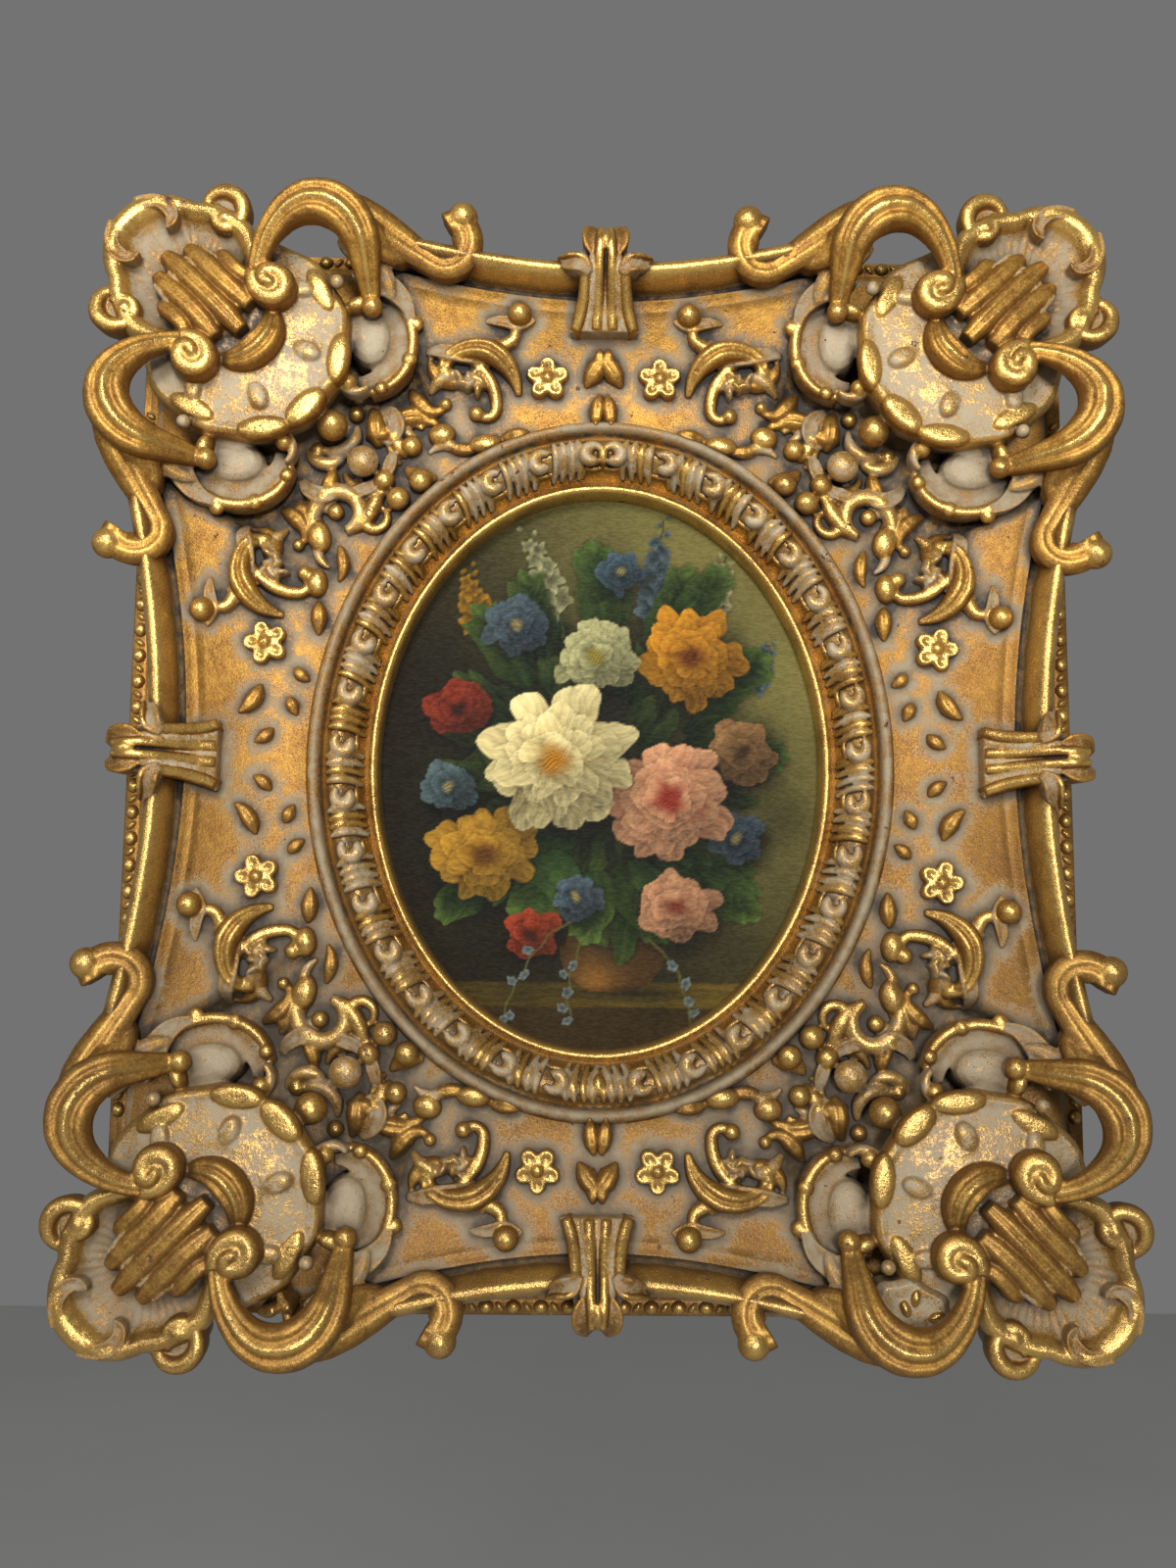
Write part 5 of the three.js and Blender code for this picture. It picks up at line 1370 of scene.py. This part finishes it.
print("openness readings")
benchShift = Matrix.Translation(cornerShift)
swapAxes = Matrix(((0, 1, 0, 0), (1, 0, 0, 0), (0, 0, 1, 0), (0, 0, 0, 1)))
everything = treeOf([(mouldingMesh, benchShift), (cornerMesh, Matrix.Identity(4)), (topClasp, benchShift),
                     (sideClasp, benchShift @ swapAxes), (bandMesh, benchShift)])


def foldToCorner(co, normals):  # any point of the frame, as if it stood in the drawn corner
    sign = np.where(co[:, :2] < 0, -1, 1)
    co, normals = co.copy(), normals.copy()
    co[:, :2] = co[:, :2] * sign + np.array(cornerShift[:2])
    normals[:, :2] *= sign
    return co, normals


def shiftToCorner(co, normals):
    return co + np.array(cornerShift), normals


def swapFold(co, normals):
    return foldToCorner(co[:, [1, 0, 2]], normals[:, [1, 0, 2]])


for mesh, toBench in ((cornerMesh, None), (mouldingMesh, foldToCorner), (topClasp, foldToCorner),
                      (sideClasp, swapFold), (bandMesh, shiftToCorner), (courseMesh, foldToCorner)):
    readOpenness(mesh, everything, toBench)

# Leaf is left off the moulding close to the carving, the oval's inner lines are kept clear of the painted
# shade and take the painted highlight, and the ground gets painted shade low down and on the right
mouldingWearAndShade = {"depths": (16, 43.5), "giltOver": 0.35, "near": 9, "bareWithin": 1.2, "fadeOver": 6.5,
                "left": 0.08, "innerOut": 22, "innerShadeLift": 0.45, "proud": 0.94, "ground": 0.5,
                "paintedLightUp": 0.1, "paintedLightRight": -0.04, "over": 150}


def wearAndShadeMoulding(mesh, s=mouldingWearAndShade):
    near = treeOf([(cornerMesh, Matrix.Identity(4)), (topClasp, benchShift),
                   (sideClasp, benchShift @ swapAxes)])
    flat, gilt, openness = readCo(mesh), readValues(mesh, "gilt"), readValues(mesh, "openness")
    low, high = s["depths"]
    for i, co in enumerate(foldToCorner(flat, readNormals(mesh))[0]):
        if not low < co[2] < high or gilt[i] < s["giltOver"]:
            continue
        found = near.find_nearest(Vector(co), s["near"])[3]
        if found is not None:
            kept = min(1, max(0, (found - s["bareWithin"]) / s["fadeOver"])) ** 1.2
            gilt[i] *= s["left"] + (1 - s["left"]) * kept
    inner = np.hypot(flat[:, 0] / (sightWide + s["innerOut"]), flat[:, 1] / (sightTall + s["innerOut"])) < 1
    # painted shade is lifted off the oval's inner lines
    openness[inner] = s["innerShadeLift"] + (1 - s["innerShadeLift"]) * openness[inner]
    # painted light by place: the ground's crest rises up the frame and falls to the right, so the grooves'
    # painted shade is darker low down and on the right; proud lines take the painted highlight
    right, up = np.clip(flat[:, :2] / s["over"], -1, 1).T
    ground = s["ground"] + s["paintedLightUp"] * up + s["paintedLightRight"] * right
    writeValues(mesh, "gilt", gilt)
    writeValues(mesh, "openness", openness)
    writeValues(mesh, "crest", np.where(inner | (flat[:, 2] > high), s["proud"], ground))


wearAndShadeMoulding(mouldingMesh)

print("setting the pieces in the frame")
for mesh in (cornerMesh, topClasp, sideClasp, bandMesh, courseMesh):
    smoothSkin(mesh)
    mesh.materials.append(parcelGilt)
smoothSkin(mouldingMesh, 60)
mouldingMesh.materials.append(parcelGilt)
mouldingMesh.materials.append(bareWood)
for polygon in mouldingMesh.polygons:   # the back and the rabbet are bare
    spot = polygon.center
    inRabbet = abs(spot.x) < moulding["rabbetHalfWide"] + 1 and abs(spot.y) < moulding["rabbetHalfTall"] + 1
    bare = spot.z < 0.4 or (inRabbet and spot.z < moulding["rabbetDepth"] + 0.05)
    polygon.material_index = 1 if bare else 0

pieces = [settle(mouldingMesh, "moulding", setMatrix(1, 1)), settle(bandMesh, "leaf_band", setMatrix(1, 1)),
          settle(courseMesh, "edge_course", setMatrix(1, 1))]
wide, tall = moulding["railHalfWide"], moulding["railHalfTall"]
for name, sideX, sideZ in (("top_left", -1, 1), ("top_right", 1, 1), ("bottom_left", -1, -1),
                           ("bottom_right", 1, -1)):
    pieces.append(settle(cornerMesh, "carving_" + name, setMatrix(sideX, sideZ, wide, tall)))
pieces.append(settle(topClasp, "clasp_top", setMatrix(1, 1)))
pieces.append(settle(topClasp, "clasp_bottom", setMatrix(1, -1)))
pieces.append(settle(sideClasp, "clasp_right", setMatrix(1, 1, swap=True)))
pieces.append(settle(sideClasp, "clasp_left", setMatrix(-1, 1, swap=True)))
for piece in pieces:
    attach(piece, "root")
    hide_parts("carved_frame")

print("damage")
# Gesso left in one opening of a lower handle, ragged gilded bits in its neighbour, two pits in a shell
damage = {"web": (-79, -9.5), "webReach": 17, "pits": [(-24, 4.5, 1.3), (-18, 5.5, 1.5)],
          "bits": [(-86, -6, 40), (-78, -15, 100), (-70, -8, 160), (-82, -11, 70)]}


def makeWeb(d=damage):
    heap = tagged()
    rows = [(1, 42), (0.98, 51), (0.8, 53.4), (0.45, 52.6), (0.1, 53.2)]
    pad(heap, d["web"], d["webReach"], d["webReach"] * 0.72, rows, turn=20, gilt=0.02, lobes=7, lobe=0.06,
        count=40)
    for x, y, turn in d["bits"]:
        pad(heap, (x, y), 3.4, 1.8, [(1, 47), (0.9, 54.2), (0.4, 55)], turn=turn, gilt=0.9, count=10)
    return fuse(heap, "web", 0.5, 1, 5000)


def makeBits(d=damage):
    heap = tagged()
    for x, y, turn in d["bits"]:
        stroke(heap, (x, y), turn, [(6, 50), (4, -90)], [1.4, 2.4, 1.8, 0.7], depth=[50, 54, 52], gilt=1,
               sink=14)
    return fuse(heap, "bits", 0.5, 0, 4000)


for name, mesh, sideX in (("handle_web", makeWeb(), 1), ("handle_bits", makeBits(), -1)):
    readOpenness(mesh, everything)
    smoothSkin(mesh)
    mesh.materials.append(parcelGilt)
    piece = settle(mesh, name, setMatrix(sideX, -1, wide, tall))
    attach(piece, "root")
    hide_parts("carved_frame")
pitted = bpy.data.objects["carving_top_left"].data
co = readCo(cornerMesh)
away = [np.hypot(co[:, 0] - x, co[:, 1] - y) / reach for x, y, reach in damage["pits"]]
writeValues(pitted, "chip", np.clip(1.6 - np.minimum(*away), 0, 1).astype(np.float32))

print("painting")
panel = bpy.data.objects.new("painted_panel", makePicture())
scene.collection.objects.link(panel)
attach(panel, "root")
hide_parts("oil_painting")

for node, material in (("backing_board", boardWood), ("hanging_plate", steel), ("hanger_screw_left", steel),
                       ("hanger_screw_right", steel)):
    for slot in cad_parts[node].material_slots:
        slot.material = material

# Floor, world and lights
studio = {"floorDrop": 0.75, "world": (0.66, 0.66, 0.66), "worldStrength": 0.26,
          "key": ((0.3, -2.6, 0.1), 0.4, 38), "fill": ((-1.1, -1.3, 0.3), 0.5, 5),
          "top": ((-0.15, -0.9, 0.46), 0.25, 5.6)}


def makeStudio(s):
    bm = bmesh.new()
    bmesh.ops.create_grid(bm, x_segments=1, y_segments=1, size=3)
    bmesh.ops.translate(bm, verts=bm.verts, vec=(0, 0, cadBox[0][2] - s["floorDrop"]))
    floor = bpy.data.objects.new("floor", meshOf(bm, "floor"))
    scene.collection.objects.link(floor)
    material, tree, shader, place = startMaterial("floor")
    tone = addMix(tree, addNoise(tree, place, 3, 3), (0.6, 0.6, 0.59), (0.66, 0.66, 0.65))
    tree.links.new(tone, shader["Base Color"])
    shader["Roughness"].default_value = 0.8
    floor.data.materials.append(material)
    world = bpy.data.worlds.new("studio")
    world.use_nodes = True
    world.node_tree.nodes["Background"].inputs["Color"].default_value = (*s["world"], 1)
    world.node_tree.nodes["Background"].inputs["Strength"].default_value = s["worldStrength"]
    scene.world = world
    for name in ("key", "fill", "top"):
        spot, size, power = s[name]
        light = bpy.data.lights.new(name, "AREA")
        light.size = size
        light.energy = power
        lamp = bpy.data.objects.new(name, light)
        lamp.location = Vector(spot) + Vector((0, 0, middleZ))
        aim = Vector((0, 0, middleZ)) - lamp.location
        lamp.rotation_euler = aim.to_track_quat("-Z", "Y").to_euler()
        scene.collection.objects.link(lamp)


makeStudio(studio)
scene.view_settings.view_transform = "Standard"
